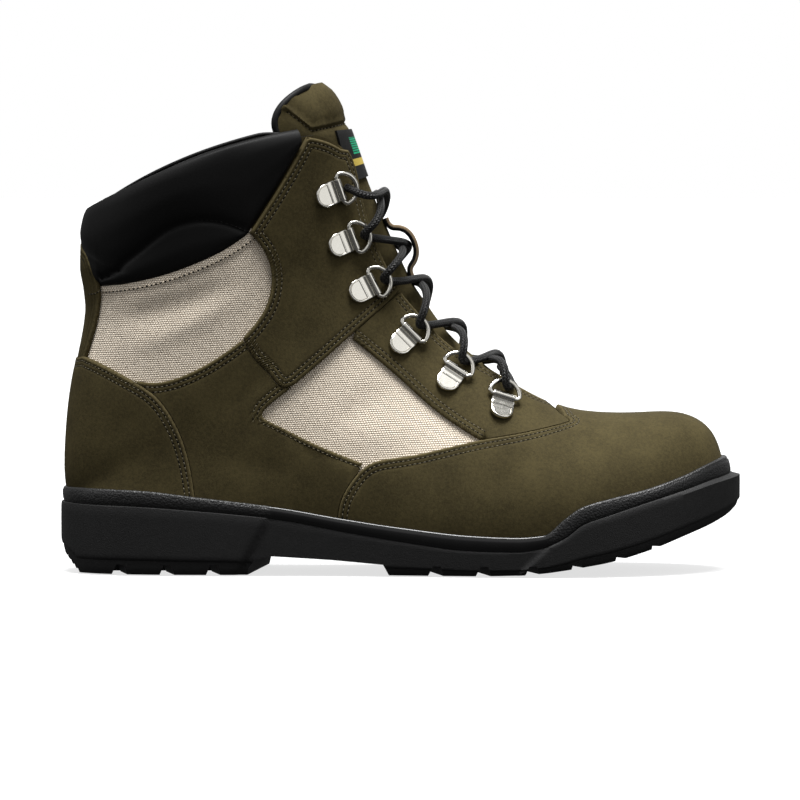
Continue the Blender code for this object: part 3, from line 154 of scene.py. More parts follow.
# Heights of the tread, of the ledge under the rand and of the rand's rim, and how far the ledge and the
# rim lie in from the outline.
SideRow = namedtuple("SideRow", "x tread ledge rim ledge_in rim_in")
SOLE_SIDE = (
    SideRow(-150.0, 8.6, 30.5, 36.9, 0.3, 1.0),
    SideRow(-141.5, 0.0, 30.2, 37.2, 0.3, 1.0),
    SideRow(-117.0, 0.0, 29.6, 36.7, 0.3, 1.0),
    SideRow(-87.0, 0.0, 27.6, 33.6, 0.3, 1.0),
    SideRow(-52.0, 0.0, 24.0, 29.2, 0.3, 1.0),
    SideRow(-26.0, 0.0, 19.2, 24.7, 0.3, 1.0),
    SideRow(0.0, 0.0, 14.9, 20.9, 0.3, 1.0),
    SideRow(30.0, 0.0, 11.2, 17.7, 0.3, 1.0),
    SideRow(50.0, 0.4, 10.8, 17.0, 0.3, 1.0),
    SideRow(62.0, 1.4, 12.7, 18.0, 0.3, 1.0),
    SideRow(71.0, 2.6, 16.6, 25.0, 0.3, 1.0),
    SideRow(79.0, 3.9, 22.4, 30.2, 0.3, 1.1),
    SideRow(90.0, 5.8, 26.2, 33.3, 0.4, 1.4),
    SideRow(107.0, 10.3, 31.5, 37.2, 0.5, 1.6),
    SideRow(126.0, 17.0, 37.0, 43.0, 0.8, 2.2),
    SideRow(138.0, 21.4, 40.4, 47.4, 1.4, 3.2),
    SideRow(146.0, 25.2, 42.0, 49.4, 2.4, 4.7),
    SideRow(150.0, 28.0, 42.8, 50.0, 3.2, 5.8),
)
HEEL_NOTCHES = (-119.5, -99.5, -79.5)
FORE_NOTCHES = (16.0, 36.0, 56.7, 76.5, 96.3, 113.5)
CENTRE_NOTCHES = (-109.5, -89.5, 26.0, 46.5, 66.5, 86.5, 105.0)
ARCH_PROFILE = ((-66.0, -8.0), (-63.0, -2.0), (-62.0, 3.0), (-59.0, 7.0), (-52.0, 8.1), (-26.0, 6.6),
                (-3.0, 4.7), (0.4, -2.0), (3.0, -8.0))
ARCH_SKEW = 0.11
# Slanted ends of the heel's and the toe's side panels: place at a height, and run for each rise.
HEEL_PANEL_END = (-58.0, 25.0, 0.54)
TOE_PANEL_END = (65.0, 14.0, 1.1)
HEEL_RIBS = 5
HEEL_RIB_START = -141.5

# Sections of the last. The bottom point is on the feather edge up to the heel end, and on the back of the
# boot above that. The width is half the full one, "at" is where it lies between bottom and top, and the
# two roundness values shape the section below and above it. Bow lifts the middle of a section.
Section = namedtuple("Section", "place bottom_x bottom_z top_x top_z top_y width at low high bow")
SECTIONS = (
    Section("toe tip", 143.6, 31.0, 141.0, 43.0, 7.6, 0.0, 0.3, 2.2, 2.0, 0.0),
    Section("toe wall", 140.6, 30.2, 138.8, 51.0, 7.2, 10.0, 0.22, 2.2, 2.0, 0.0),
    Section("toe turn", 133.5, 28.4, 134.3, 60.2, 6.2, 20.0, 0.18, 2.2, 2.1, 0.0),
    Section("toe cap", 121.0, 25.0, 122.5, 66.4, 4.5, 31.0, 0.18, 2.2, 2.3, 0.0),
    Section("toe box", 102.0, 20.5, 104.0, 66.5, 3.5, 41.0, 0.2, 2.2, 2.3, 0.0),
    Section("forefoot", 81.0, 16.5, 85.0, 66.9, 2.5, 46.7, 0.2, 2.2, 2.2, 0.0),
    Section("ball", 58.0, 13.7, 66.5, 71.2, 1.5, 46.8, 0.2, 2.2, 2.1, 0.0),
    Section("tread", 32.0, 13.7, 49.0, 82.7, 1.5, 43.6, 0.2, 2.2, 2.0, 0.0),
    Section("waist", 4.0, 17.2, 34.5, 94.0, 1.5, 38.6, 0.22, 2.2, 2.0, 0.0),
    Section("arch", -28.0, 21.6, 22.5, 104.6, 1.5, 35.2, 0.27, 2.2, 2.0, 0.0),
    Section("instep", -62.0, 26.0, 13.5, 116.5, 1.5, 34.2, 0.32, 2.2, 2.0, 0.0),
    Section("heel seat", -97.0, 29.6, 6.5, 127.0, 1.0, 33.8, 0.36, 2.2, 2.0, 0.0),
    Section("heel", -127.0, 31.9, 1.0, 138.0, 0.5, 34.0, 0.4, 2.2, 2.0, 0.0),
    Section("heel end", -143.6, 32.6, -3.0, 147.0, 0.0, 34.4, 0.43, 2.3, 2.0, 0.0),
    Section("counter", -145.6, 57.0, -7.0, 156.5, 0.0, 34.6, 0.45, 2.3, 2.0, 0.0),
    Section("counter top", -142.6, 84.0, -10.8, 165.5, 0.0, 34.8, 0.48, 2.3, 2.05, 0.0),
    Section("ankle", -137.6, 110.0, -14.3, 174.5, 0.0, 35.6, 0.5, 2.25, 2.1, 2.0),
    Section("shaft", -136.4, 135.0, -17.8, 184.5, 0.0, 37.2, 0.5, 2.2, 2.2, 4.5),
    Section("topline", -134.5, 156.0, -20.8, 193.0, 0.0, 38.6, 0.5, 2.2, 2.3, 7.0),
    Section("tongue neck", -132.0, 170.0, -24.6, 202.5, 0.0, 39.4, 0.5, 2.2, 2.3, 7.0),
    Section("tongue top", -129.0, 186.0, -33.0, 215.8, 0.0, 39.4, 0.5, 2.2, 2.3, 7.0),
)
HEEL_END = 13
HEEL_TURN = 0.6
TOPLINE = 18
LAST_END = len(SECTIONS) - 1
HALF_GIRTH = 100.0

# Edges of the leather panels seen from the side, as x and z.
COUNTER_EDGE = ((-140.6, 95.0), (-131.6, 91.4), (-118.0, 84.6), (-107.0, 77.6), (-99.6, 68.0),
                (-93.5, 53.3), (-90.5, 39.0), (-89.0, 27.0))
STRIP_EDGE = ((-141.2, 88.0), (-138.9, 94.8), (-136.5, 102.0), (-134.0, 111.0), (-132.6, 119.0),
              (-132.2, 125.0), (-133.0, 131.0), (-134.8, 137.5), (-136.2, 141.0))
STRIP_TOP = (-160.0, 141.5)
STRIP_FOLD = ((-138.0, 121.6), (-135.0, 122.0), (-132.4, 123.4))
VAMP_EDGE = ((-27.7, 18.0), (-26.4, 31.0), (-21.2, 41.0), (-14.3, 47.8), (-0.4, 51.2), (16.9, 54.7),
             (34.2, 58.6), (51.6, 61.4), (64.0, 63.8), (71.0, 65.3), (74.2, 66.6), (71.6, 68.2))
WINDOW_TOP = ((-131.5, 125.3), (-122.6, 126.2), (-104.9, 129.8), (-87.3, 136.0), (-73.5, 143.0),
              (-65.6, 148.6))
WINDOW_FRONT = ((-65.6, 148.6), (-59.0, 140.3), (-56.0, 130.5), (-56.8, 121.5), (-60.4, 113.0),
                (-68.6, 103.0))
WINDOW_FLOOR = ((-68.8, 102.0), (-76.4, 96.5), (-96.0, 86.0), (-109.0, 83.4), (-116.6, 84.4))
ANKLE_CORNER = ((-68.6, 103.0), (-63.3, 93.5), (-56.5, 86.5), (-51.2, 81.3), (-46.5, 82.6))
ANKLE_FLOOR = ((-46.5, 82.6), (-35.2, 92.2), (-17.8, 107.6), (-5.0, 118.8))
ANKLE_TOP = ((-26.0, 185.0), (-29.5, 187.0), (-34.0, 188.8), (-40.6, 190.2))
COLLAR_FRONT = ((-40.6, 190.2), (-50.4, 172.5), (-59.0, 158.6), (-65.6, 148.6))
EYESTAY_FLOOR = ((34.0, 59.4), (16.9, 70.5), (-0.4, 85.6), (-20.9, 102.6))
QUARTER_FRONT = ((-17.0, 48.6), (-39.4, 57.7), (-56.5, 66.2), (-60.4, 69.0), (-57.0, 74.0), (-49.8, 79.6))
TONGUE_TOP = ((-52.0, 189.0), (-54.6, 196.0), (-52.5, 202.5), (-48.5, 207.0), (-42.0, 211.6), (-34.6, 214.8))
# Rows of points beside the tongue's seam, by their distance above it.
SEAM_ROWS = (-1.8, -1.2, -0.6, 0.0, 0.5, 1.2, 2.4)
TONGUE_SEAM = ((-49.1, 202.8), (-37.7, 193.9), (-23.7, 197.5))
COLLAR_SEAM = ((-131.0, 129.0), (-120.3, 135.9), (-109.2, 144.6), (-102.7, 149.4), (-96.1, 152.5),
               (-83.1, 154.0), (-76.6, 152.9), (-66.6, 149.0))

# Where the shell shows as canvas, seen from the side; its top falls towards the toe.
Window = namedtuple("Window", "back front floor top fall top_x")
WINDOWS = (Window(-141.0, -52.0, 80.0, 150.0, 0.0, 0.0), Window(-64.0, 38.0, 44.0, 106.0, 0.787, -20.9))

# Half the width of the throat, and of the tongue below the collar, along the sections.
HalfWidth = namedtuple("HalfWidth", "s width")
THROAT = (
    HalfWidth(6.2, 6.0),
    HalfWidth(6.5, 9.5),
    HalfWidth(7.0, 12.0),
    HalfWidth(8.0, 13.6),
    HalfWidth(9.5, 14.4),
    HalfWidth(11.5, 14.6),
    HalfWidth(13.5, 15.0),
    HalfWidth(15.5, 15.8),
    HalfWidth(16.8, 17.0),
    HalfWidth(17.4, 20.5),
    HalfWidth(18.0, 29.0),
)
THROAT_END = 6.05
VAMP_END = 5.92
TONGUE_LOW = (
    HalfWidth(5.5, 10.0),
    HalfWidth(6.5, 20.0),
    HalfWidth(8.0, 23.0),
    HalfWidth(11.0, 24.0),
    HalfWidth(14.0, 25.5),
    HalfWidth(16.0, 29.5),
)

# D-rings from the top row down: where the clip's plate and the ring lie, seen from the side.
RingPlace = namedtuple("RingPlace", "plate_x plate_z ring_x ring_z")
RING_PLACES = (
    RingPlace(-33.5, 164.6, -24.0, 169.0),
    RingPlace(-26.6, 143.7, -18.8, 147.2),
    RingPlace(-17.6, 123.4, -9.8, 127.4),
    RingPlace(0.4, 101.0, 6.3, 106.6),
    RingPlace(20.8, 84.4, 25.6, 90.4),
    RingPlace(43.6, 72.2, 45.0, 78.6),
)
ANKLE_RINGS_ABOVE = 115.0

# Collar padding below and above its seam: height between the two ends, and thickness on the outside.
PadRow = namedtuple("PadRow", "height thickness")
CRESCENT_PAD = (PadRow(0.0, 0.7), PadRow(0.12, 1.7), PadRow(0.5, 2.7), PadRow(0.85, 2.2), PadRow(1.0, 1.3))
ROLL_PAD = (PadRow(0.08, 3.0), PadRow(0.3, 4.6), PadRow(0.6, 5.5), PadRow(0.9, 5.2))
SEAM_DEPTH = 0.9
COLLAR_ROLL = 3.6
COLLAR_LINING = 4.0
COLLAR_LINING_DROP = 1.1
COLLAR_FRONT_HEIGHT = 0.3
COLLAR_PAD_AROUND = (0.3, 0.42, 0.58, 0.8, 1.0)
COLLAR_PAD_SHARE = (0.3, 0.35, 0.85, 1.0, 1.0)
STRIP_LIFT_S = (16.2, 16.55, 16.85, 17.3)
STRIP_LIFT = (0.0, 1.3, 2.9, 3.3)

LABEL_ROWS = (15.9, 17.1, 18.15)
LABEL_HALF = (0.13, 0.135, 0.13)

# Loop of the lace keeper around the second crossing: sections away from it, and height over the tongue.
KeeperRow = namedtuple("KeeperRow", "away rise")
KEEPER_LOOP = (
    KeeperRow(1.4, 1.0),
    KeeperRow(1.12, 1.1),
    KeeperRow(0.93, 2.2),
    KeeperRow(0.82, 4.2),
    KeeperRow(0.55, 7.2),
    KeeperRow(0.0, 8.5),
    KeeperRow(-0.55, 7.2),
    KeeperRow(-0.82, 4.2),
    KeeperRow(-0.93, 2.2),
    KeeperRow(-1.12, 1.1),
    KeeperRow(-1.4, 1.0),
)
KEEPER_ROW = 1
KEEPER_DROP = 0.5
KEEPER_THICKNESS = 2.6
KEEPER_WIDTH = 8.0
# Height of the upper and lower strand of each crossing over the tongue.
LACE_OVER = ((5.5, 1.95), (5.1, 1.9), (5.5, 1.95), (5.4, 1.95), (5.3, 1.95))
LACE_BAR = (40.8, 80.6)
LACE_BAR_RISE = 3.6

# Soft creases and dents, as a line seen from the side, its depth and how far it spreads.
Crease = namedtuple("Crease", "line depth spread")
CANVAS_CREASES = (
    Crease(((-126.0, 110.0), (-108.0, 114.0), (-90.0, 119.5), (-74.0, 126.5)), 1.5, 5.0),
    Crease(((-122.0, 98.0), (-104.0, 103.0), (-86.0, 112.0), (-70.0, 121.0)), -0.7, 4.5),
    Crease(((-128.0, 119.0), (-112.0, 122.0), (-95.0, 128.0)), -0.5, 4.0),
    Crease(((-34.0, 62.0), (-16.0, 74.0), (-4.0, 84.0)), 0.7, 7.0),
    Crease(((-40.0, 74.0), (-20.0, 62.0), (8.0, 62.0)), -0.4, 6.0),
)
LEATHER_CREASES = (
    Crease(((62.0, 44.0), (72.0, 52.0), (82.0, 62.0)), 0.35, 4.0),
    Crease(((40.0, 36.0), (50.0, 44.0), (58.0, 54.0)), 0.3, 4.5),
    Crease(((-84.0, 52.0), (-66.0, 48.0), (-44.0, 42.0)), 0.4, 6.0),
    Crease(((-72.0, 72.0), (-66.0, 80.0), (-62.0, 86.0)), 0.45, 3.0),
    Crease(((-52.0, 118.0), (-44.0, 104.0), (-38.0, 98.0)), 0.5, 5.0),
    Crease(((-50.0, 140.0), (-40.0, 132.0), (-30.0, 120.0)), 0.45, 5.0),
    Crease(((-128.0, 60.0), (-116.0, 66.0), (-106.0, 62.0)), 0.35, 6.0),
)
COLLAR_CREASES = (
    Crease(((-165.0, 150.0), (-150.0, 147.4), (-137.5, 143.2), (-131.0, 139.0), (-118.0, 131.0)), 3.0, 1.9),
    Crease(((-165.0, 146.0), (-141.0, 141.0), (-135.0, 137.0), (-122.0, 128.0)), 1.8, 2.6),
    Crease(((-96.0, 172.0), (-78.0, 176.0), (-62.0, 178.0)), 0.5, 5.0),
)

CAMERA_PLACE = (-0.44, -2450.0, 170.0)
CAMERA_AIM = (-0.44, 0.0, 74.6)
SENSOR = 36.0
ROOM_LIGHT = 0.24
ROOM_LIGHT_BELOW = 0.07
LIGHTS_AIM = (0.02, 0.0, 0.08)
SUN_PLACE = (0.14, -0.2, 2.0)
SUN_POWER = 7.4
SUN_ANGLE = math.radians(34.0)
# Soft lights, in metres and watts.
SoftLight = namedtuple("SoftLight", "name place power wide tall")
SOFT_LIGHTS = (
    SoftLight("light_front", (-0.1, -1.6, 1.0), 3.0, 1.6, 1.3),
    SoftLight("light_toe", (1.26, -0.82, 0.86), 6.3, 1.0, 2.3),
    SoftLight("light_heel", (-1.5, -0.3, 0.95), 7.5, 1.2, 1.2),
    SoftLight("light_back", (0.2, 1.7, 0.8), 5.0, 1.6, 1.2),
)
SEEN_WIDTH = 352.96


def spline(knots, values):
    """Natural cubic spline through values at knots."""
    knots = np.asarray(knots, float)
    values = np.asarray(values, float)
    step = np.diff(knots)
    count = len(knots)
    system = np.eye(count)
    right = np.zeros(count)
    for i in range(1, count - 1):
        system[i, i - 1:i + 2] = step[i - 1], 2 * (step[i - 1] + step[i]), step[i]
        right[i] = 6 * ((values[i + 1] - values[i]) / step[i] - (values[i] - values[i - 1]) / step[i - 1])
    bend = np.linalg.solve(system, right)

    def at(place):
        place = np.clip(np.asarray(place, float), knots[0], knots[-1])
        i = np.clip(np.searchsorted(knots, place, side="right") - 1, 0, count - 2)
        ahead = knots[i + 1] - place
        behind = place - knots[i]
        cubic = (bend[i] * ahead**3 + bend[i + 1] * behind**3) / (6 * step[i])
        first = (values[i] / step[i] - bend[i] * step[i] / 6) * ahead
        second = (values[i + 1] / step[i] - bend[i + 1] * step[i] / 6) * behind
        return cubic + first + second

    return at


def steady_curve(knots, values):
    """Cubic curve through values at knots that never overshoots them."""
    knots = np.asarray(knots, float)
    values = np.asarray(values, float)
    step = np.diff(knots)
    slope = np.diff(values) / step
    product = slope[:-1] * slope[1:]
    total = slope[:-1] + slope[1:]
    tangent = np.concatenate([slope[:1], np.zeros(len(knots) - 2), slope[-1:]])
    rising = product > 0
    tangent[1:-1][rising] = 2 * product[rising] / total[rising]

    def at(place):
        place = np.clip(np.asarray(place, float), knots[0], knots[-1])
        i = np.clip(np.searchsorted(knots, place, side="right") - 1, 0, len(step) - 1)
        t = (place - knots[i]) / step[i]
        start = (1 + 2 * t) * (1 - t) ** 2 * values[i] + t * (1 - t) ** 2 * step[i] * tangent[i]
        end = t * t * (3 - 2 * t) * values[i + 1] + t * t * (t - 1) * step[i] * tangent[i + 1]
        return start + end

    return at


def closed_spline(points):
    """Smooth closed plan curve through points, as a function of t from 0 to 1."""
    points = np.asarray(points, float)
    wrap = 4
    ring = np.vstack([points[-wrap:], points, points[:wrap + 1]])
    length = run_length(ring)
    start = length[wrap]
    whole = length[wrap + len(points)] - start
    along_x = spline(length, ring[:, 0])
    along_y = spline(length, ring[:, 1])
    return lambda t: np.stack([along_x(start + t * whole), along_y(start + t * whole)], -1)


def run_length(points):
    """Distance along a run of points, from its start to each of them."""
    return np.concatenate([[0.0], np.cumsum(np.linalg.norm(np.diff(points, axis=0), axis=1))])


def smooth_run(points, step):
    """Points of a smooth open curve through points, about a step apart."""
    points = np.asarray(points, float)
    moved = np.diff(run_length(points), prepend=-1.0) > 0.01
    points = points[moved]
    length = run_length(points)
    places = np.linspace(0.0, length[-1], max(int(round(length[-1] / step)), 2) + 1)
    return np.stack([spline(length, points[:, k])(places) for k in range(points.shape[1])], -1)


def shift_run(points, distance):
    """Moves an edge sideways, to the left of its direction."""
    along = np.gradient(points, axis=0)
    along /= np.linalg.norm(along, axis=1, keepdims=True)
    return points + distance * np.stack([-along[:, 1], along[:, 0]], -1)


def soft_step(value, start, end):
    """0 before start, 1 after end, with a smooth rise between them."""
    t = np.clip((np.asarray(value, float) - start) / (end - start), 0.0, 1.0)
    return t * t * (3 - 2 * t)


def unit(vectors):
    return vectors / np.maximum(np.linalg.norm(vectors, axis=-1, keepdims=True), 1e-12)


class SolePlan:
    """Outline of the sole, with its outer (-1) and inner (1) side as functions of x."""

    def __init__(self, outline, samples=1600):
        self.curve = closed_spline([(p.x, p.y) for p in outline])
        t = np.linspace(0.0, 1.0, samples + 1)
        x = self.curve(t)[:, 0]
        toe = int(np.argmax(x))
        self.sides = {-1: (np.maximum.accumulate(x[:toe + 1]), t[:toe + 1])}
        self.sides[1] = (np.maximum.accumulate(x[toe:][::-1]), t[toe:][::-1])
        self.feather = {side: self.inset(t_side, FEATHER_INSET) for side, (_, t_side) in self.sides.items()}

    def inset(self, t, distance):
        step = 0.0005
        along = unit(self.curve(t + step) - self.curve(t - step))
        outward = np.stack([along[..., 1], -along[..., 0]], -1)
        return self.curve(t) - outward * np.asarray(distance)[..., None]

    def point(self, x, side, distance):
        places, t = self.sides[side]
        return self.inset(np.interp(x, places, t), distance)

    def feather_y(self, x, side):
        edge = self.feather[side]
        return np.interp(x, np.maximum.accumulate(edge[:, 0]), edge[:, 1])


class Last:
    """The form inside the boot, a smooth surface from the section table."""

    def __init__(self, sections, plan):
        rows = np.arange(len(sections))
        names = Section._fields[1:]
        self.column = {name: spline(rows, [getattr(row, name) for row in sections]) for name in names}
        foot = sections[:HEEL_END + 1][::-1]
        self.bed = steady_curve([row.bottom_x for row in foot], [row.bottom_z for row in foot])
        self.plan = plan
        around = np.linspace(-1.0, 1.0, 41)
        rings = self.surface(rows[:, None], around[None, :])
        spacing = np.linalg.norm(np.diff(rings, axis=0), axis=-1).mean(axis=1)
        self.run = np.concatenate([[0.0], np.cumsum(spacing)])
        grid = np.meshgrid(np.linspace(0.0, LAST_END, 401), np.linspace(-1.0, 0.0, 161), indexing="ij")
        self.table = np.stack([g.ravel() for g in grid], -1)
        seen = self.at(self.table, GAP + PANEL_THICKNESS)
        self.tree = KDTree(len(seen))
        for i, point in enumerate(seen):
            self.tree.insert((point[0], 0.0, point[2]), i)
        self.tree.balance()

    def surface(self, s, c):
        """Points of the form, with the turn from the foot's sections to the shaft's rounded at the heel."""
        s, c = np.broadcast_arrays(np.asarray(s, float), np.asarray(c, float))
        points = self.sections(s, c)
        near = (np.abs(s - HEEL_END) < HEEL_TURN) & (np.abs(c) < 0.97)
        if near.any():
            around = c[near]
            first, last = HEEL_END - HEEL_TURN, HEEL_END + HEEL_TURN
            start, end = self.sections(first, around), self.sections(last, around)
            leave = (start - self.sections(first - 0.05, around)) * 2 * HEEL_TURN / 0.05
            arrive = (self.sections(last + 0.05, around) - end) * 2 * HEEL_TURN / 0.05
            t = ((s[near] - first) / (2 * HEEL_TURN))[:, None]
            smooth = (1 + 2 * t) * (1 - t) ** 2 * start + t * (1 - t) ** 2 * leave
            smooth += t * t * (3 - 2 * t) * end + t * t * (t - 1) * arrive
            share = 1 - soft_step(np.abs(around), 0.85, 0.97)[:, None]
            points[near] += (smooth - points[near]) * share
        return points

    def sections(self, s, c):
        s, c = np.broadcast_arrays(np.asarray(s, float), np.asarray(c, float))
        col = {name: curve(s) for name, curve in self.column.items()}
        on_foot = s < HEEL_END
        outer = self.plan.feather_y(col["bottom_x"], -1)
        inner = self.plan.feather_y(col["bottom_x"], 1)
        bottom_z = np.where(on_foot, self.bed(col["bottom_x"]), col["bottom_z"])
        feather = np.where(on_foot, (inner - outer) / 2, 0.0)
        middle = np.where(on_foot, (inner + outer) / 2, 0.0)
        wide = np.maximum(col["width"], feather + 0.2 * np.minimum(s, 1.0))
        level = 1 - 2 * np.abs(c)
        low = level < 0
        power = 2 / np.where(low, col["low"], col["high"])
        share = np.clip(feather / np.maximum(wide, 1e-6), 0.0, 1.0)
        foot = np.maximum(np.arccos(share ** (1 / power)), 0.02)
        angle = np.abs(level) * np.where(low, foot, math.pi / 2)
        rise = np.sin(angle) ** power
        full = np.where(low, np.sin(foot) ** power, 1.0)
        half = wide * np.clip(np.cos(angle), 0.0, None) ** power
        part = np.where(low, col["at"] * (1 - rise / full), col["at"] + (1 - col["at"]) * rise)
        run = col["top_x"] - col["bottom_x"]
        climb = col["top_z"] - bottom_z
        length = np.maximum(np.hypot(run, climb), 1e-6)
        lift = col["bow"] * 4 * part * (1 - part) / length
        x = col["bottom_x"] + run * part - climb * lift
        y = middle * (1 - part) + col["top_y"] * part + np.sign(c) * half
        z = bottom_z + climb * part + run * lift
        return np.stack([x, y, z], -1)

    def slopes(self, s, c):
        """How the surface runs along s and along c."""
        ds, dc = 0.02, 0.004
        before = np.where(s >= HEEL_END, np.maximum(s - ds, HEEL_END), np.maximum(s - ds, 0.0))
        after = np.where(s >= HEEL_END, np.minimum(s + ds, LAST_END), np.minimum(s + ds, HEEL_END - 1e-6))
        left, right = np.clip(c - dc, -1, 1), np.clip(c + dc, -1, 1)
        along = (self.surface(after, c) - self.surface(before, c)) / (after - before)[..., None]
        across = (self.surface(s, right) - self.surface(s, left)) / (right - left)[..., None]
        return along, across

    def normal(self, s, c):
        s, c = np.broadcast_arrays(np.asarray(s, float), np.asarray(c, float))
        along, across = self.slopes(s, c)
        out = unit(np.cross(across, along))
        back = np.where(s >= HEEL_END, soft_step(1 - np.abs(c), 0.0, 0.05), 1.0)
        out[..., 1] *= soft_step(s, 0.0, 0.7) * back
        out[..., 0] = np.where(s < 0.3, np.maximum(out[..., 0], 0.4), out[..., 0])
        return unit(out)

    def on(self, places):
        return self.surface(places[:, 0], places[:, 1])

    def out(self, places):
        return self.normal(places[:, 0], places[:, 1])

    def at(self, places, d=0.0):
        """Points over places (s, c), d out along the normal."""
        s, c = places[..., 0], places[..., 1]
        return self.surface(s, c) + self.normal(s, c) * np.asarray(d, float)[..., None]

    def flat(self, places):
        """Places with both directions in about millimetres."""
        rows = np.arange(len(self.run))
        return np.stack([np.interp(places[..., 0], rows, self.run), places[..., 1] * HALF_GIRTH], -1)

    def unflat(self, flat):
        rows = np.arange(len(self.run))
        return np.stack([np.interp(flat[..., 0], self.run, rows), flat[..., 1] / HALF_GIRTH], -1)

    def trace(self, run, lift=GAP + PANEL_THICKNESS):
        """Places on the outer side of points seen at x and z from the side."""
        run = np.atleast_2d(np.asarray(run, float))
        places = self.table[[self.tree.find((x, 0.0, z))[1] for x, z in run]]
        ds, dc = 0.01, 0.002
        for _ in range(8):
            here = self.at(places, lift)[:, SIDE_VIEW]
            step_s = np.where(places[:, 0] > LAST_END - 0.02, -ds, ds)
            step_c = np.where(places[:, 1] > -0.01, -dc, dc)
            beside = places + np.stack([step_s, np.zeros(len(run))], -1)
            below = places + np.stack([np.zeros(len(run)), step_c], -1)
            by_s = (self.at(beside, lift)[:, SIDE_VIEW] - here) / step_s[:, None]
            by_c = (self.at(below, lift)[:, SIDE_VIEW] - here) / step_c[:, None]
            turn = np.stack([by_s, by_c], -1)
            square = np.swapaxes(turn, 1, 2) @ turn
            square += np.eye(2) * (0.02 * np.einsum("nii->n", square)[:, None, None] * 0.05 + 1e-3)
            pull = np.swapaxes(turn, 1, 2) @ (run - here)[..., None]
            move = np.linalg.solve(square, pull)[..., 0]
            places = places + np.clip(move, (-0.2, -0.03), (0.2, 0.03))
            places = np.clip(places, (0.0, -1.0), (LAST_END, 0.0))
        return places

    def slide(self, places, move):
        """Places after a move along the surface, given in space."""
        along, across = self.slopes(places[:, 0], places[:, 1])
        a = np.einsum("ni,ni->n", along, along)
        b = np.einsum("ni,ni->n", along, across)
        d = np.einsum("ni,ni->n", across, across)
        p = np.einsum("ni,ni->n", along, move)
        q = np.einsum("ni,ni->n", across, move)
        size = np.maximum(a * d - b * b, 1e-6)
        shift = np.stack([(d * p - b * q) / size, (a * q - b * p) / size], -1)
        moved = places + np.clip(shift, (-0.6, -0.08), (0.6, 0.08))
        return np.clip(moved, (0.0, -1.0), (LAST_END, 1.0))

    def at_width(self, s, width):
        """Place on the outer side, above the widest part, that is a width away from the ridge's plane."""
        s = np.asarray(s, float)
        share = np.clip(np.asarray(width) / self.column["width"](s), 0.0, 1.0)
        level = np.arccos(share ** (self.column["high"](s) / 2)) * 2 / math.pi
        return np.stack([s, -(1 - level) / 2], -1)


def mirrored(places):
    return (places * np.array([1.0, -1.0]))[::-1]


def straight(start, end):
    return np.array([start, end], float)


def even_run(last, places, step):
    """Places of a run at even steps along it."""
    end = len(places) - 1
    steps = np.concatenate([np.linspace(0, 1, 9)[:-1] + k for k in range(end)] + [[end]])
    fine = np.stack([np.interp(steps, np.arange(len(places)), places[:, k]) for k in range(2)], -1)
    length = run_length(last.on(fine))
    at = np.linspace(0.0, length[-1], max(int(round(length[-1] / step)), 1) + 1)
    return np.stack([np.interp(at, length, fine[:, k]) for k in range(2)], -1)


def inside(polygon, points):
    x, y = points[:, 0], points[:, 1]
    result = np.zeros(len(points), bool)
    for (x0, y0), (x1, y1) in zip(polygon, np.roll(polygon, -1, axis=0)):
        crosses = (y0 > y) != (y1 > y)
        if y0 != y1:
            result ^= crosses & (x < (x1 - x0) * (y - y0) / (y1 - y0) + x0)
    return result


def near_tree(points):
    tree = KDTree(len(points))
    for i, point in enumerate(points):
        tree.insert(point, i)
    tree.balance()
    return tree


def distances(tree, points):
    return np.array([tree.find(point)[2] for point in points])


def side_reach(line, points):
    """Distance of points from a line, both seen from the side."""
    tree = near_tree([(x, 0.0, z) for x, z in line])
    return distances(tree, points * np.array([1.0, 0.0, 1.0]))


def crease_relief(creases, points):
    """How far soft creases move points of the surface in or out."""
    relief = np.zeros(len(points))
    seen = points[:, SIDE_VIEW]
    for crease in creases:
        line = smooth_run(crease.line, 1.0)
        gap = np.full(len(seen), np.inf)
        place = np.zeros(len(seen))
        for k, (x, z) in enumerate(line):
            reach = np.hypot(seen[:, 0] - x, seen[:, 1] - z)
            closer = reach < gap
            gap[closer] = reach[closer]
            place[closer] = k / (len(line) - 1)
        fade = soft_step(np.minimum(place, 1 - place), -0.02, 0.3)
        relief -= crease.depth * np.exp(-(gap / crease.spread) ** 2) * (0.15 + 0.85 * fade)
    return relief


Edge = namedtuple("Edge", "places sewn")
sewing = {"leather": [], "canvas": [], "collar": []}


def inset_run(last, polygon, places, distance, tree):
    """Places a distance in from a panel's edge, without those that run past a corner."""
    points = last.on(places)
    along = unit(np.gradient(points, axis=0))
    inward = np.cross(last.out(places), along)
    trial = last.slide(places, inward * 0.6)
    if inside(polygon, trial).mean() < 0.5:
        inward = -inward
    moved = places
    for _ in range(3):
        moved = last.slide(moved, inward * distance / 3)
    far = distances(tree, last.on(moved))
    return moved[(far > 0.93 * distance) & inside(polygon, moved)]


def sewn_runs(edges):
    """Edges of a panel that are sewn, with those that follow each other joined."""
    runs, joined = [], False
    for edge in edges:
        if edge.sewn and joined:
            runs[-1] = np.vstack([runs[-1], edge.places[1:]])
        elif edge.sewn:
            runs.append(edge.places)
        joined = edge.sewn
    return runs


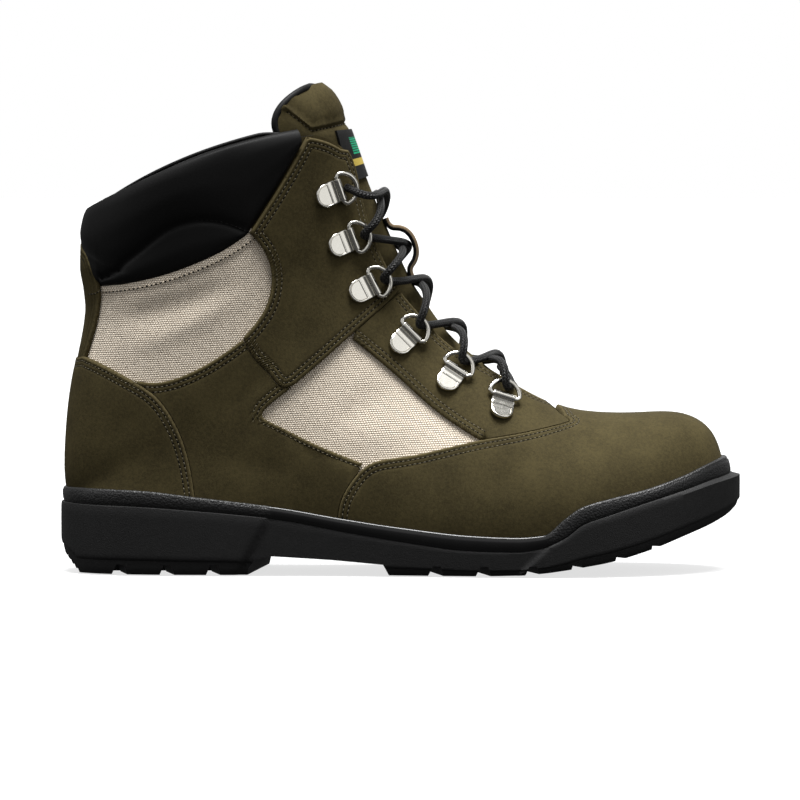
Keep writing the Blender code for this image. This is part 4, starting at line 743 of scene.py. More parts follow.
def panel_places(last, edges, spacing, extra=()):
    """Places and triangles of a region, dense along its sewn edges, and the tree of those edges."""
    runs = [even_run(last, run, EDGE_STEP) for run in sewn_runs(edges)]
    loop = np.vstack([even_run(last, edge.places, EDGE_STEP if edge.sewn else spacing) for edge in edges])
    flat_loop = last.flat(loop)
    apart = np.linalg.norm(flat_loop - np.roll(flat_loop, 1, axis=0), axis=1) > 0.05
    loop, flat_loop = loop[apart], flat_loop[apart]
    tree = None
    points = [loop]
    if runs:
        fine = np.vstack([even_run(last, run, 0.25) for run in runs])
        tree = near_tree(last.on(fine))
        points += [inset_run(last, loop, run, reach, tree) for run in runs for reach in EDGE_LOOPS]
    points += [places[inside(loop, places)] for places in extra]
    low, high = flat_loop.min(axis=0), flat_loop.max(axis=0)
    rows = np.arange(low[1], high[1], spacing * 0.87)
    lattice = []
    for k, row in enumerate(rows):
        across = np.arange(low[0] + spacing / 2 * (k % 2), high[0], spacing)
        lattice.append(np.stack([across, np.full(len(across), row)], -1))
    lattice = np.vstack(lattice)
    lattice = lattice[inside(flat_loop, lattice)]
    keep = distances(near_tree([(*p, 0.0) for p in np.vstack([last.flat(q) for q in points])]),
                     [(*p, 0.0) for p in lattice]) > 0.55 * spacing
    places = last.unflat(lattice[keep])
    if tree:
        away = distances(tree, last.on(places))
        places = places[away > EDGE_LOOPS[-1] * 0.9]
    flat = np.vstack([last.flat(q) for q in points + [places]])
    ring = [(k, (k + 1) % len(loop)) for k in range(len(loop))]
    result = delaunay_2d_cdt([Vector(p) for p in flat], ring, [], 0, 1e-5)
    found = np.array([tuple(v) for v in result[0]])
    faces = np.array(result[2])
    kept = inside(flat_loop, found[faces].mean(axis=1))
    return last.unflat(found), faces[kept], tree, runs, loop


def edge_height(distance, low, high):
    """Height of a leather panel at a distance from its sewn edge: rounded, with a groove at each row."""
    turn = np.clip(distance / EDGE_ROUND, 0.0, 1.0)
    height = high - 0.5 * (high - low) * (1 - np.sqrt(1 - (1 - turn) ** 2))
    for row in STITCH_ROWS:
        height = height - STITCH_GROOVE * np.exp(-((distance - row) / STITCH_SPREAD) ** 2)
    return height


def value_at(amount, places):
    return amount(places[:, 0], places[:, 1]) if callable(amount) else np.full(len(places), float(amount))


def weld(points, size=0.02):
    """For each point, the number of the first point in the same place."""
    keys = np.round(points / size).astype(np.int64)
    _, first, back = np.unique(keys, axis=0, return_index=True, return_inverse=True)
    return first[back.ravel()]


def make_panel(name, last, loops, low, high, looks, spacing=2.6, creases=(), kind="leather", relief=None,
               extra=(), panes=None):
    """Closed sheet between two distances from the last, with rounded and grooved sewn edges.

    looks are the materials of the top, of the rest, and of the top outside any panes.
    extra holds more rows of places to follow, and relief lifts the top.
    """
    places, faces, reach = [], [], []
    count = 0
    for edges in loops:
        where, triangles, tree, runs, loop = panel_places(last, edges, spacing, extra)
        faces.append(triangles + count)
        places.append(where)
        count += len(where)
        points = last.on(where)
        reach.append(distances(tree, points) if tree else np.full(len(where), 99.0))
        for run in runs:
            for row in STITCH_ROWS if kind == "leather" else ():
                line = inset_run(last, loop, run, row, tree)
                lift = edge_height(np.full(len(line), row), value_at(low, line), value_at(high, line))
                base = last.on(line)
                add_sewing(kind, last, line, lift + 0.12 + crease_relief(creases, base))
    places, faces, reach = np.vstack(places), np.vstack(faces), np.concatenate(reach)
    base = last.on(places)
    normal = last.out(places)
    faces = weld(base)[faces]
    faces = faces[(faces[:, 0] != faces[:, 1]) & (faces[:, 1] != faces[:, 2]) & (faces[:, 2] != faces[:, 0])]
    bottom, top = value_at(low, places), value_at(high, places)
    height = edge_height(reach, bottom, top) + crease_relief(creases, base)
    if relief:
        height = height + relief(base)
    count = len(places)
    sides = {(f[i - 1], f[i]) for f in faces.tolist() for i in range(3)}
    rim = [(a, b) for a, b in sides if (b, a) not in sides]
    shell = [tuple(f) for f in faces.tolist()]
    under = [(a + count, c + count, b + count) for a, b, c in shell]
    walls = [(b, a, a + count, b + count) for a, b in rim]
    points = np.vstack([base + normal * height[:, None], base + normal * bottom[:, None]])
    part = [0] * len(shell) + [1] * (len(under) + len(walls))
    if panes:
        part[:len(shell)] = np.where(panes(base[faces].mean(axis=1)), 0, 2).tolist()
    edge = np.concatenate([reach, np.zeros(count)])
    spots = np.vstack([places, places])
    return make_piece(name, points, shell + under + walls, looks, part, {"edge": edge}, spots[:, ::-1])


def add_sewing(kind, last, line, lift):
    """Keeps a stitch row for the sewing: its points and the way out of the boot at each."""
    if len(line) > 2:
        normal = last.out(line)
        sewing[kind].append((last.on(line) + normal * lift[:, None], normal))


def smooth_faces(mesh):
    mesh.polygons.foreach_set("use_smooth", np.ones(len(mesh.polygons), bool))


def add_object(name, data):
    piece = bpy.data.objects.new(name, data)
    bpy.context.scene.collection.objects.link(piece)
    return piece


def face_out(mesh):
    """Turns the faces of a closed mesh outward and shades them smooth."""
    work = bmesh.new()
    work.from_mesh(mesh)
    bmesh.ops.recalc_face_normals(work, faces=work.faces)
    work.to_mesh(mesh)
    work.free()
    smooth_faces(mesh)


def settle(piece):
    """Gives a piece the mesh that its modifiers make, and takes them off."""
    graph = bpy.context.evaluated_depsgraph_get()
    mesh = bpy.data.meshes.new_from_object(piece.evaluated_get(graph))
    piece.modifiers.clear()
    piece.data = mesh
    smooth_faces(mesh)


def make_piece(name, points, faces, looks, part=None, values=None, spots=None, sharp=50.0):
    """Mesh object with its materials; values are numbers at the points, spots their places on a UV map."""
    mesh = bpy.data.meshes.new(name)
    used = np.unique(np.concatenate([np.asarray(f) for f in faces])) if len(faces) else []
    order = np.full(len(points), -1)
    order[used] = np.arange(len(used))
    points = np.asarray(points, float)[used]
    mesh.from_pydata((points * MM).tolist(), [], [tuple(int(order[v]) for v in f) for f in faces])
    for look in looks:
        mesh.materials.append(look)
    if part is not None:
        mesh.polygons.foreach_set("material_index", np.asarray(part, np.int32))
    for key, numbers in (values or {}).items():
        attribute = mesh.attributes.new(key, "FLOAT", "POINT")
        attribute.data.foreach_set("value", np.asarray(numbers, np.float32)[used])
    if spots is not None:
        corner = np.zeros(len(mesh.loops), np.int32)
        mesh.loops.foreach_get("vertex_index", corner)
        layer = mesh.uv_layers.new(name="places")
        layer.data.foreach_set("uv", np.asarray(spots, np.float32)[used][corner].ravel())
    face_out(mesh)
    mesh.set_sharp_from_angle(angle=math.radians(sharp))
    mesh.update()
    return add_object(name, mesh)


def place_piece(piece, slot, *nodes):
    """Fixes a piece to the boot in place of the nodes it stands for."""
    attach(piece, "root")
    if nodes:
        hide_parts(*nodes)
    return piece


def grid_faces(rows, columns, closed_rows=False, closed_columns=True):
    """Faces between rows of points that each hold the same number of columns."""
    faces = []
    for k in range(rows if closed_rows else rows - 1):
        here, there = k * columns, (k + 1) % rows * columns
        for i in range(columns if closed_columns else columns - 1):
            j = (i + 1) % columns
            faces.append((here + i, here + j, there + j, there + i))
    return faces


class Value:
    """A number in a material; arithmetic on it adds Math nodes."""

    def __init__(self, look, socket):
        self.look = look
        self.socket = socket

    def math(self, operation, other=0.0, third=0.0):
        return self.look.node("ShaderNodeMath", {"operation": operation}, {0: self, 1: other, 2: third})

    def reverse(self, operation, other):
        return self.look.node("ShaderNodeMath", {"operation": operation}, {0: other, 1: self})

    def __add__(self, other):
        return self.math("ADD", other)

    def __sub__(self, other):
        return self.math("SUBTRACT", other)

    def __mul__(self, other):
        return self.math("MULTIPLY", other)

    def __truediv__(self, other):
        return self.math("DIVIDE", other)

    def __radd__(self, other):
        return self.reverse("ADD", other)

    def __rsub__(self, other):
        return self.reverse("SUBTRACT", other)

    def __rmul__(self, other):
        return self.reverse("MULTIPLY", other)

    def __mod__(self, other):
        return self.math("FLOORED_MODULO", other)

    def floor(self):
        return self.math("FLOOR")

    def size(self):
        return self.math("ABSOLUTE")

    def soft(self, start, end):
        settings = {"interpolation_type": "SMOOTHSTEP"}
        sockets = {"Value": self, "From Min": start, "From Max": end}
        return self.look.node("ShaderNodeMapRange", settings, sockets)


class Look:
    """One material; its nodes come from one method."""

    def __init__(self, name, **shader_values):
        self.material = bpy.data.materials.new(name)
        self.material.use_nodes = True
        self.tree = self.material.node_tree
        self.shader = self.tree.nodes["Principled BSDF"]
        for key, value in shader_values.items():
            self.shader.inputs[key.replace("_", " ")].default_value = value

    def node(self, kind, settings=None, sockets=None, output=0):
        made = self.tree.nodes.new(kind)
        for key, value in (settings or {}).items():
            setattr(made, key, value)
        for key, value in (sockets or {}).items():
            self.feed(made.inputs[key], value)
        return Value(self, made.outputs[output])

    def feed(self, socket, value):
        if isinstance(value, Value):
            self.tree.links.new(value.socket, socket)
        else:
            socket.default_value = value

    def shade(self, **links):
        for key, value in links.items():
            self.feed(self.shader.inputs[key.replace("_", " ")], value)
        return self.material

    def spot(self):
        """Place on the boot in metres."""
        return self.node("ShaderNodeTexCoord", output="Object")

    def part(self, vector, axis):
        return self.node("ShaderNodeSeparateXYZ", sockets={0: vector}, output=axis)

    def noise(self, vector, size, detail=2.0, rough=0.5):
        """Noise with features of about a size in millimetres."""
        sockets = {"Vector": vector, "Scale": 1.0 / (size * MM), "Detail": detail, "Roughness": rough}
        return self.node("ShaderNodeTexNoise", None, sockets)

    def mix(self, share, first, second):
        return self.node("ShaderNodeMix", {"data_type": "RGBA"}, {0: share, 6: first, 7: second}, 2)

    def bump(self, height, depth, strength=1.0, normal=None):
        """Relief with a depth in millimetres."""
        sockets = {"Height": height, "Distance": depth * MM, "Strength": strength}
        if normal:
            sockets["Normal"] = normal
        return self.node("ShaderNodeBump", None, sockets)

    def value(self, name):
        return self.node("ShaderNodeAttribute", {"attribute_name": name}, None, "Fac")


def colour(red, green, blue):
    return (red, green, blue, 1.0)


def nubuck(name, deep, full, worn):
    """Napped leather: soft blotches, fine fibres, and a paler cut edge."""
    look = Look(name, Sheen_Weight=0.03, Sheen_Roughness=0.5, Specular_IOR_Level=0.1)
    look.shader.inputs["Sheen Tint"].default_value = worn
    spot = look.spot()
    blotch = look.noise(spot, 16.0, 3.0)
    nap = look.noise(spot, 1.3, 3.0, 0.65)
    fibre = look.noise(spot, 0.35, 2.0, 0.7)
    share = (blotch - 0.5) * 0.8 + (nap - 0.5) * 1.0 + (fibre - 0.5) * 0.9 + 0.5
    base = look.mix(share.soft(0.0, 1.0), deep, full)
    rim = look.value("edge").soft(1.3, 0.25) * nap.soft(0.2, 0.6)
    relief = look.bump(nap * 0.6 + fibre * 0.4, 0.22, 0.55)
    base = look.mix(rim * 0.55, base, worn)
    return look.shade(Base_Color=base, Roughness=0.78 + nap * 0.18, Normal=relief)


def woven_canvas(name):
    """Beige canvas of staggered beads of thread; the darker gaps between them are painted shade."""
    look = Look(name, Sheen_Weight=0.1, Specular_IOR_Level=0.2)
    spot = look.spot()
    sway = (look.noise(spot, 9.0, 1.0) - 0.5) * 0.5
    across = look.part(spot, "X") * (1 / (1.1 * MM)) + look.part(spot, "Z") * (-0.12 / (1.1 * MM)) + sway
    up = look.part(spot, "Z") * (1 / (0.95 * MM)) + look.part(spot, "X") * (-0.05 / (0.95 * MM)) + sway
    row = up.floor()
    shifted = across + (row % 2.0) * 0.5
    along = ((shifted % 1.0) - 0.5).size() * 2.0
    upward = ((up % 1.0) - 0.5).size() * 2.0
    bead = (1.0 - along * along) * (1.0 - upward * upward)
    fibre = look.noise(spot, 0.3, 2.0, 0.6)
    tone = look.noise(spot, 3.0, 3.0)
    # Beads lighter, gaps darker: painted shade between the threads, over the bump's own relief.
    share = bead.soft(0.05, 0.75) * 0.85 + (fibre - 0.5) * 0.35 + (tone - 0.5) * 0.3
    base = look.mix(share.soft(0.0, 0.9), colour(0.52, 0.425, 0.32), colour(0.92, 0.83, 0.70))
    relief = look.bump(bead.soft(0.0, 0.9) + fibre * 0.15, 0.45, 0.8)
    return look.shade(Base_Color=base, Roughness=0.82 + fibre * 0.15, Normal=relief)


def smooth_lining(name, shine, grain=0.5):
    """Black smooth cover of the collar and the linings, with a fine knit."""
    look = Look(name, Specular_IOR_Level=shine)
    spot = look.spot()
    knit = look.noise(spot, grain, 2.0, 0.6)
    patch = look.noise(spot, 20.0, 2.0)
    base = look.mix(patch * 0.6 + knit * 0.4, colour(0.0012, 0.0012, 0.0012), colour(0.0032, 0.0032, 0.0032))
    relief = look.bump(knit, 0.12, 0.35)
    return look.shade(Base_Color=base, Roughness=0.5 + knit * 0.2, Normal=relief)


def moulded_rubber(name, stippled):
    """Black rubber: matt with a fine grain, or the rand's, glossy in the waist and stippled at both ends."""
    look = Look(name, Specular_IOR_Level=0.45 if stippled else 0.28)
    spot = look.spot()
    grain = look.noise(spot, 0.45, 2.0, 0.6)
    dust = look.noise(spot, 5.0, 3.0)
    base = look.mix(dust, colour(0.0045, 0.0045, 0.0046), colour(0.0078, 0.0078, 0.0079))
    if not stippled:
        relief = look.bump(grain, 0.3, 0.6)
        return look.shade(Base_Color=base, Roughness=0.5 + grain * 0.2, Normal=relief)
    place = look.part(spot, "X")
    ends = (place * -1.0).soft(0.0555, 0.0585) + place.soft(0.062, 0.066)
    speck = look.node("ShaderNodeTexVoronoi", None, {"Vector": spot, "Scale": 1 / (0.85 * MM)}, "Distance")
    relief = look.bump((0.75 - speck) * ends + grain * 0.06, 0.3, 0.75)
    return look.shade(Base_Color=base, Roughness=0.2 + ends * 0.2 + grain * 0.1, Normal=relief)


def polished_nickel(name):
    """Bright nickel with faint polishing marks and dull specks."""
    look = Look(name, Metallic=1.0)
    spot = look.spot()
    marks = look.noise(spot, 1.6, 4.0, 0.7)
    base = look.mix(marks, colour(0.66, 0.64, 0.58), colour(0.76, 0.74, 0.68))
    relief = look.bump(marks, 0.03, 0.25)
    return look.shade(Base_Color=base, Roughness=0.1 + marks * 0.14, Normal=relief)


def braided_cord(name):
    """Black round lace: slanting strands that cross over each other around the cord, with painted glints
    along their crowns.
    """
    look = Look(name, Specular_IOR_Level=0.3, Sheen_Weight=0.03, Sheen_Roughness=0.45)
    place = look.node("ShaderNodeUVMap", {"uv_map": "places"})
    around = look.part(place, "X") * 8.0
    along = look.part(place, "Y") * (1 / 1.3)
    one, other = around + along, around - along
    over = (one.floor() + other.floor()) % 2.0
    bow = ((one % 1.0) - 0.5).size() * 2.0
    cross = ((other % 1.0) - 0.5).size() * 2.0
    strand = (1.0 - bow * bow) * over + (1.0 - cross * cross) * (1.0 - over)
    fibre = look.noise(look.spot(), 0.3, 2.0, 0.6)
    # Strand crowns are painted lighter: a painted highlight, not the cord's colour.
    painted_glint = strand * strand * 0.75 + fibre * 0.35 - 0.1
    base = look.mix(painted_glint, colour(0.0009, 0.0009, 0.0009), colour(0.016, 0.0156, 0.015))
    relief = look.bump(strand + fibre * 0.2, 0.6, 1.0)
    return look.shade(Base_Color=base, Roughness=0.42 + fibre * 0.2, Normal=relief)


def sewing_thread(name, deep, full, shine):
    look = Look(name, Specular_IOR_Level=shine)
    twist = look.noise(look.spot(), 0.5, 2.0, 0.6)
    base = look.mix(twist, deep, full)
    return look.shade(Base_Color=base, Roughness=0.35 + twist * 0.25, Normal=look.bump(twist, 0.1, 0.4))


def woven_label(name):
    """Black woven label with green bars and a yellow stripe across it."""
    look = Look(name, Specular_IOR_Level=0.3)
    place = look.node("ShaderNodeUVMap", {"uv_map": "places"})
    along = look.part(place, "Y")
    across = look.part(place, "X").size()
    rib = look.noise(look.spot(), 0.5, 2.0, 0.6)
    bars = along.soft(16.9, 16.92) * (1.0 - along.soft(17.72, 17.74)) * (1.0 - across.soft(0.078, 0.08))
    lines = ((along * 9.0) % 1.0).soft(0.3, 0.36)
    stripe = along.soft(16.44, 16.46) * (1.0 - along.soft(16.72, 16.74))
    ground = look.mix(rib, colour(0.006, 0.006, 0.006), colour(0.014, 0.014, 0.014))
    green = look.mix(bars * lines, ground, colour(0.012, 0.32, 0.16))
    base = look.mix(stripe, green, colour(0.48, 0.36, 0.07))
    return look.shade(Base_Color=base, Roughness=0.6 + rib * 0.2, Normal=look.bump(rib, 0.2, 0.6))


def footbed_foam(name):
    look = Look(name, Specular_IOR_Level=0.2)
    cell = look.noise(look.spot(), 0.8, 3.0, 0.6)
    base = look.mix(cell, colour(0.02, 0.02, 0.02), colour(0.05, 0.048, 0.045))
    return look.shade(Base_Color=base, Roughness=0.85 + cell * 0.1, Normal=look.bump(cell, 0.3, 0.5))


def sewing_tree():
    """Stitches, or black beads of painted shade in the stitch holes, at even steps along rows, laid to the
    surface by each row's way out.
    """
    tree = bpy.data.node_groups.new("sewing", "GeometryNodeTree")
    sockets = {}
    tree.interface.new_socket("Geometry", in_out="INPUT", socket_type="NodeSocketGeometry")
    for name in ("Pitch", "Length", "Width", "Height", "Shift"):
        sockets[name] = tree.interface.new_socket(name, in_out="INPUT", socket_type="NodeSocketFloat")
    sockets["Thread"] = tree.interface.new_socket("Thread", in_out="INPUT", socket_type="NodeSocketMaterial")
    tree.interface.new_socket("Geometry", in_out="OUTPUT", socket_type="NodeSocketGeometry")
    given = tree.nodes.new("NodeGroupInput").outputs

    def node(kind, settings=None, links=None, output=0):
        made = tree.nodes.new(kind)
        for key, value in (settings or {}).items():
            setattr(made, key, value)
        for key, value in (links or {}).items():
            if isinstance(value, bpy.types.NodeSocket):
                tree.links.new(value, made.inputs[key])
            else:
                made.inputs[key].default_value = value
        return made.outputs[output]

    curve = node("GeometryNodeMeshToCurve", None, {0: given["Geometry"]})
    rows = node("GeometryNodeResampleCurve", {"mode": "LENGTH"}, {"Curve": curve, "Length": given["Pitch"]})
    bead = node("GeometryNodeMeshIcoSphere", None, {"Radius": 0.5, "Subdivisions": 1})
    sizes = node("ShaderNodeCombineXYZ", None, {0: given["Length"], 1: given["Width"], 2: given["Height"]})
    ahead = node("ShaderNodeCombineXYZ", None, {0: given["Shift"]})
    stitch = node("GeometryNodeTransform", None, {"Geometry": bead, "Scale": sizes, "Translation": ahead})
    tangent = node("GeometryNodeInputTangent")
    out = node("GeometryNodeInputNamedAttribute", {"data_type": "FLOAT_VECTOR"}, {"Name": "way_out"})
    turn = node("FunctionNodeAlignRotationToVector", {"axis": "X"}, {"Vector": tangent})
    laid = node("FunctionNodeAlignRotationToVector", {"axis": "Z", "pivot_axis": "X"},
                {"Rotation": turn, "Vector": out})
    spread = node("GeometryNodeInstanceOnPoints", None,
                  {"Points": rows, "Instance": stitch, "Rotation": laid})
    real = node("GeometryNodeRealizeInstances", None, {0: spread})
    done = node("GeometryNodeSetMaterial", None, {"Geometry": real, "Material": given["Thread"]})
    tree.links.new(done, tree.nodes.new("NodeGroupOutput").inputs[0])
    return tree, sockets


def sew(name, tree, sockets, rows, sizes, thread):
    """Plain mesh of all stitches along rows; sizes are those of the tree in millimetres."""
    points = np.vstack([row[0] for row in rows])
    ways = np.vstack([row[1] for row in rows])
    edges, start = [], 0
    for row, _ in rows:
        edges += [(start + k, start + k + 1) for k in range(len(row) - 1)]
        start += len(row)
    mesh = bpy.data.meshes.new(name + "_rows")
    mesh.from_pydata((points * MM).tolist(), edges, [])
    attribute = mesh.attributes.new("way_out", "FLOAT_VECTOR", "POINT")
    attribute.data.foreach_set("vector", ways.astype(np.float32).ravel())
    piece = add_object(name, mesh)
    modifier = piece.modifiers.new("sewing", "NODES")
    modifier.node_group = tree
    for key, value in sizes.items():
        modifier[sockets[key].identifier] = value * MM
    modifier[sockets["Thread"].identifier] = thread
    settle(piece)
    return piece


def sole_side():
    x = [row.x for row in SOLE_SIDE]
    side = {name: steady_curve(x, [getattr(row, name) for row in SOLE_SIDE]) for name in SideRow._fields[1:]}
    bevel = side["tread"]
    full = SOLE_SIDE[0].tread
    width = HEEL_RIB_START - SOLE_SIDE[0].x

    def ribbed(place):
        """Height of the tread, in small ribs up the back of the heel."""
        climb = np.clip((HEEL_RIB_START - np.asarray(place, float)) / width, 0.0, 1.0) * HEEL_RIBS
        rib = np.floor(climb)
        stair = full * np.minimum(rib + soft_step(climb - rib, 0.55, 0.95), HEEL_RIBS) / HEEL_RIBS
        return np.where(np.asarray(place) < HEEL_RIB_START, stair, bevel(place))

    side["tread"] = ribbed
    return side


def sole_columns():
    """Places along the sole where its side is measured, closer together where it turns or steps."""
    end = 150.0 - 12.0 * np.linspace(1.0, 0.0, 16) ** 2
    heel = np.linspace(-150.0, -139.0, 30)
    middle = np.arange(-138.0, 137.5, 1.25)
    back = [-150.0, -149.97, -149.8]
    return np.concatenate([back, heel[heel > -149.7], middle, end[:-1], [149.95, 150.0]])


def prism(profile, y_start, y_end, skew):
    """Points and faces of a bar across the boot with a profile in x and z."""
    points = [(x + skew * y, y, z) for y in (y_start, y_end) for x, z in profile]
    return points, bar_faces(len(profile))


def bar_faces(count):
    """Faces of a bar between two ends of count points each."""
    faces = [tuple(range(count)), tuple(range(2 * count - 1, count - 1, -1))]
    return faces + [(i, i + count, (i + 1) % count + count, (i + 1) % count) for i in range(count)]


def tread_cutters(side):
    """Notches, grooves and arch that leave the lugs standing."""
    cutters = []

    def channel(width, floor, depth):
        return ((-width, -CUT_BELOW), (-width / 2, 0.0), (-floor / 2, depth), (floor / 2, depth),
                (width / 2, 0.0), (width, -CUT_BELOW))

    def notch(x, y_start, y_end, skew, depth):
        rise = float(side["tread"](x))
        slope = math.atan2(float(side["tread"](x + NOTCH_WIDTH) - rise), NOTCH_WIDTH)
        ahead, up = math.cos(slope), math.sin(slope)
        section = channel(NOTCH_WIDTH, NOTCH_TOP, depth)
        turned = [(x + u * ahead - w * up, rise + u * up + w * ahead) for u, w in section]
        return prism(turned, y_start, y_end, skew)

    for x in HEEL_NOTCHES + FORE_NOTCHES:
        middle = x - NOTCH_SKEW * HALF_BREADTH
        for which in (-1, 1):
            span = sorted((which * LUG_INNER, which * CUT_REACH))
            cutters.append(notch(middle, *span, which * NOTCH_SKEW, LUG_DEPTH))
    for x in CENTRE_NOTCHES:
        cutters.append(notch(x, -CENTRE_REACH, CENTRE_REACH, 0.0, LUG_DEPTH - 0.4))
    cutters.append(prism(ARCH_PROFILE, -CUT_REACH, CUT_REACH, ARCH_SKEW))
    section = channel(GROOVE_WIDTH, GROOVE_FLOOR, LUG_DEPTH - 0.7)
    for start, end in GROOVE_SPANS:
        places = np.linspace(start, end, 5)
        for y in (-GROOVE_PLACE, GROOVE_PLACE):
            for a, b in zip(places, places[1:]):
                ends = ((a - 0.4, float(side["tread"](a))), (b + 0.4, float(side["tread"](b))))
                points = [(x, y + u, rise + w) for x, rise in ends for u, w in section]
                cutters.append((points, bar_faces(len(section))))
    return cutters


def cap_across(first, loop):
    """Faces across a level, from the outer to the inner side."""
    faces = []
    for i in range(loop // 2):
        ring = [i, i + 1, (loop - i - 1) % loop, (loop - i) % loop]
        kept = [v for n, v in enumerate(ring) if v not in ring[:n]]
        faces.append(tuple(first + v for v in kept))
    return faces


def make_outsole(plan, last, side, rubber):
    """Sidewall with its proud heel and toe panels, bed for the upper, and lugs cut into the tread."""
    columns = sole_columns()

    def waist(x, z):
        """1 in the waist, 0 on the heel's and the toe's side panels."""
        start, heel_z, heel_run = HEEL_PANEL_END
        end, toe_z, toe_run = TOE_PANEL_END
        behind = soft_step(x - start - heel_run * (z - heel_z), -0.7, 0.7)
        ahead = soft_step(x - end - toe_run * (z - toe_z), -0.9, 0.9)
        return behind * (1 - ahead)

    def wall_level(inset, height):
        def at(x, which):
            z = height(x)
            flat = plan.point(x, which, inset(x) + WAIST_STEP * waist(x, z))
            return np.column_stack([flat, z])
        return at

    def bed_edge(x, which):
        flat = plan.point(x, which, np.full(len(x), BED_INSET))
        return np.column_stack([flat, last.bed(flat[:, 0]) - BED_CLEARANCE])

    def cup_wall(x, which):
        flat = plan.point(x, which, side["ledge_in"](x) + BED_WALL)
        return np.column_stack([flat, side["ledge"](x)])

    def share(part, drop=0.0):
        return lambda x: side["tread"](x) + part * (side["ledge"](x) - side["tread"](x)) - drop

    def inset_by(extra):
        return lambda x: np.full(len(x), extra)

    levels = [bed_edge, cup_wall]
    levels.append(wall_level(lambda x: side["ledge_in"](x) + 0.5, share(1.0)))
    levels.append(wall_level(lambda x: side["ledge_in"](x) + 0.1, share(1.0, 0.25)))
    for part in (0.93, 0.84, 0.74, 0.64, 0.54, 0.45, 0.37, 0.3):
        levels.append(wall_level(inset_by(0.05 + 0.3 * (part - 0.6) ** 2), share(part)))
    for rise, extra in ((0.25, 0.1), (0.225, 0.3), (0.205, 0.9), (0.12, 1.1), (0.04, 1.6), (0.0, 2.2)):
        levels.append(wall_level(inset_by(extra), share(rise)))
    points = []
    for level in levels:
        points += [level(columns, -1), level(columns[1:-1], 1)[::-1]]
    points = np.vstack(points)
    loop = 2 * len(columns) - 2
    faces = grid_faces(len(levels), loop)
    faces += cap_across(0, loop) + cap_across(loop * (len(levels) - 1), loop)
    outsole = make_piece("outsole_moulded", points, faces, [rubber])
    points, faces = [], []
    for cutter_points, cutter_faces in tread_cutters(side):
        faces += [tuple(v + len(points) for v in f) for f in cutter_faces]
        points += cutter_points
    cutter = make_piece("tread_cutter", np.array(points), faces, [])
    cut = outsole.modifiers.new("lugs", "BOOLEAN")
    cut.operation = "DIFFERENCE"
    cut.solver = "EXACT"
    cut.object = cutter
    cut.use_self = True
    settle(outsole)
    bpy.data.objects.remove(cutter)
    outsole.data.set_sharp_from_angle(angle=math.radians(SOLE_SHARP))
    return place_piece(outsole, "sole_rubber", "outsole")


def make_rand(plan, last, side, rubber):
    """Rubber band around the foot: rounded rim, slightly full side, its inner edge under the leather."""
    count = 520
    t = np.arange(count) / count
    x = plan.curve(t)[:, 0]
    ledge, rim = side["ledge"](x) + GAP, side["rim"](x)
    foot, brow = side["ledge_in"](x), side["rim_in"](x)
    tall = rim - ledge
    rows = [(foot + BED_WALL - GAP, ledge - GAP), (foot + 1.15, ledge - GAP), (foot + 0.95, ledge + 0.3)]
    for part in (0.16, 0.3, 0.45, 0.6, 0.72):
        full = 0.35 * math.sin(math.pi * part)
        rows.append((foot + 0.85 + (brow - foot - 0.85) * part - full, ledge + tall * part))
    for turn in np.radians((0.0, 18.0, 36.0, 54.0, 72.0, 90.0)):
        rows.append((brow + 1.1 * (1 - math.cos(turn)), rim - 1.1 + 1.1 * math.sin(turn)))
    rows += [(brow + 2.2, rim - 0.08), (brow + 3.6, rim - 0.3), (brow + 9.0, rim - 0.8)]
    rows.append((foot + BED_WALL - GAP, np.maximum(ledge, last.bed(x)) + GAP))
    points = [np.column_stack([plan.inset(t, inset), height]) for inset, height in rows]
    faces = grid_faces(len(rows), count, closed_rows=True)
    rand = make_piece("rand_moulded", np.vstack(points), faces, [rubber], sharp=70.0)
    return place_piece(rand, "rand_rubber", "rand")


def make_upper(last, throat, looks):
    """Canvas shell, with a stitched hem under the collar and soft creases in its windows."""
    edge = throat(np.linspace(THROAT[-1].s, THROAT[0].s, 60))
    outer = [
        Edge(straight((0.0, -1.0), (HEEL_END, -1.0)), False),
        Edge(straight((HEEL_END, -1.0), (TOPLINE, -1.0)), False),
        Edge(np.vstack([[(TOPLINE, -1.0)], edge[:1]]), False),
        Edge(edge, False),
        Edge(np.vstack([edge[-1:], [(THROAT_END, 0.0)]]), False),
    ]
    inner = [Edge(mirrored(run.places), False) for run in outer[::-1]]
    tip = Edge(np.array([(0.0, 1.0), (0.0, 0.0), (0.0, -1.0)]), False)
    hem = smooth_run(WINDOW_TOP, 1.2)
    hem_rows = [last.trace(shift_run(hem, -drop), 0.0) for drop in (0.0, 0.8, 1.6, 2.4, 3.2, 3.9, 4.5, 5.2)]
    hem_rows += [mirrored(row) for row in hem_rows]

    def hem_relief(points):
        reach = side_reach(smooth_run(WINDOW_TOP, 0.3), points)
        return 0.7 * (1 - soft_step(reach, 3.4, 4.3)) - 0.25 * np.exp(-((reach - 3.0) / 0.5) ** 2)

    def in_windows(points):
        """Where the shell shows as canvas; elsewhere it is lined with leather."""
        x, z = points[:, 0], points[:, 2]
        shows = np.zeros(len(points), bool)
        for window in WINDOWS:
            top = window.top - window.fall * (x - window.top_x)
            shows |= (x > window.back) & (x < window.front) & (z > window.floor) & (z < top)
        return shows

    upper = make_panel("upper_canvas", last, [outer + inner + [tip]], -SHELL_WALL, 0.0, looks, 2.0,
                       CANVAS_CREASES, "shell", hem_relief, hem_rows, in_windows)
    for side in (1.0, -1.0):
        line = last.trace(shift_run(hem, -3.0), 0.0) * np.array([1.0, side])
        base = last.on(line)
        add_sewing("canvas", last, line, 0.6 + crease_relief(CANVAS_CREASES, base))
    return place_piece(upper, "beige_canvas", "upper")


def both_sides(edges):
    """A panel's edges on the outer side, and the same on the inner side."""
    return [edges, [Edge(mirrored(edge.places), edge.sewn) for edge in edges[::-1]]]


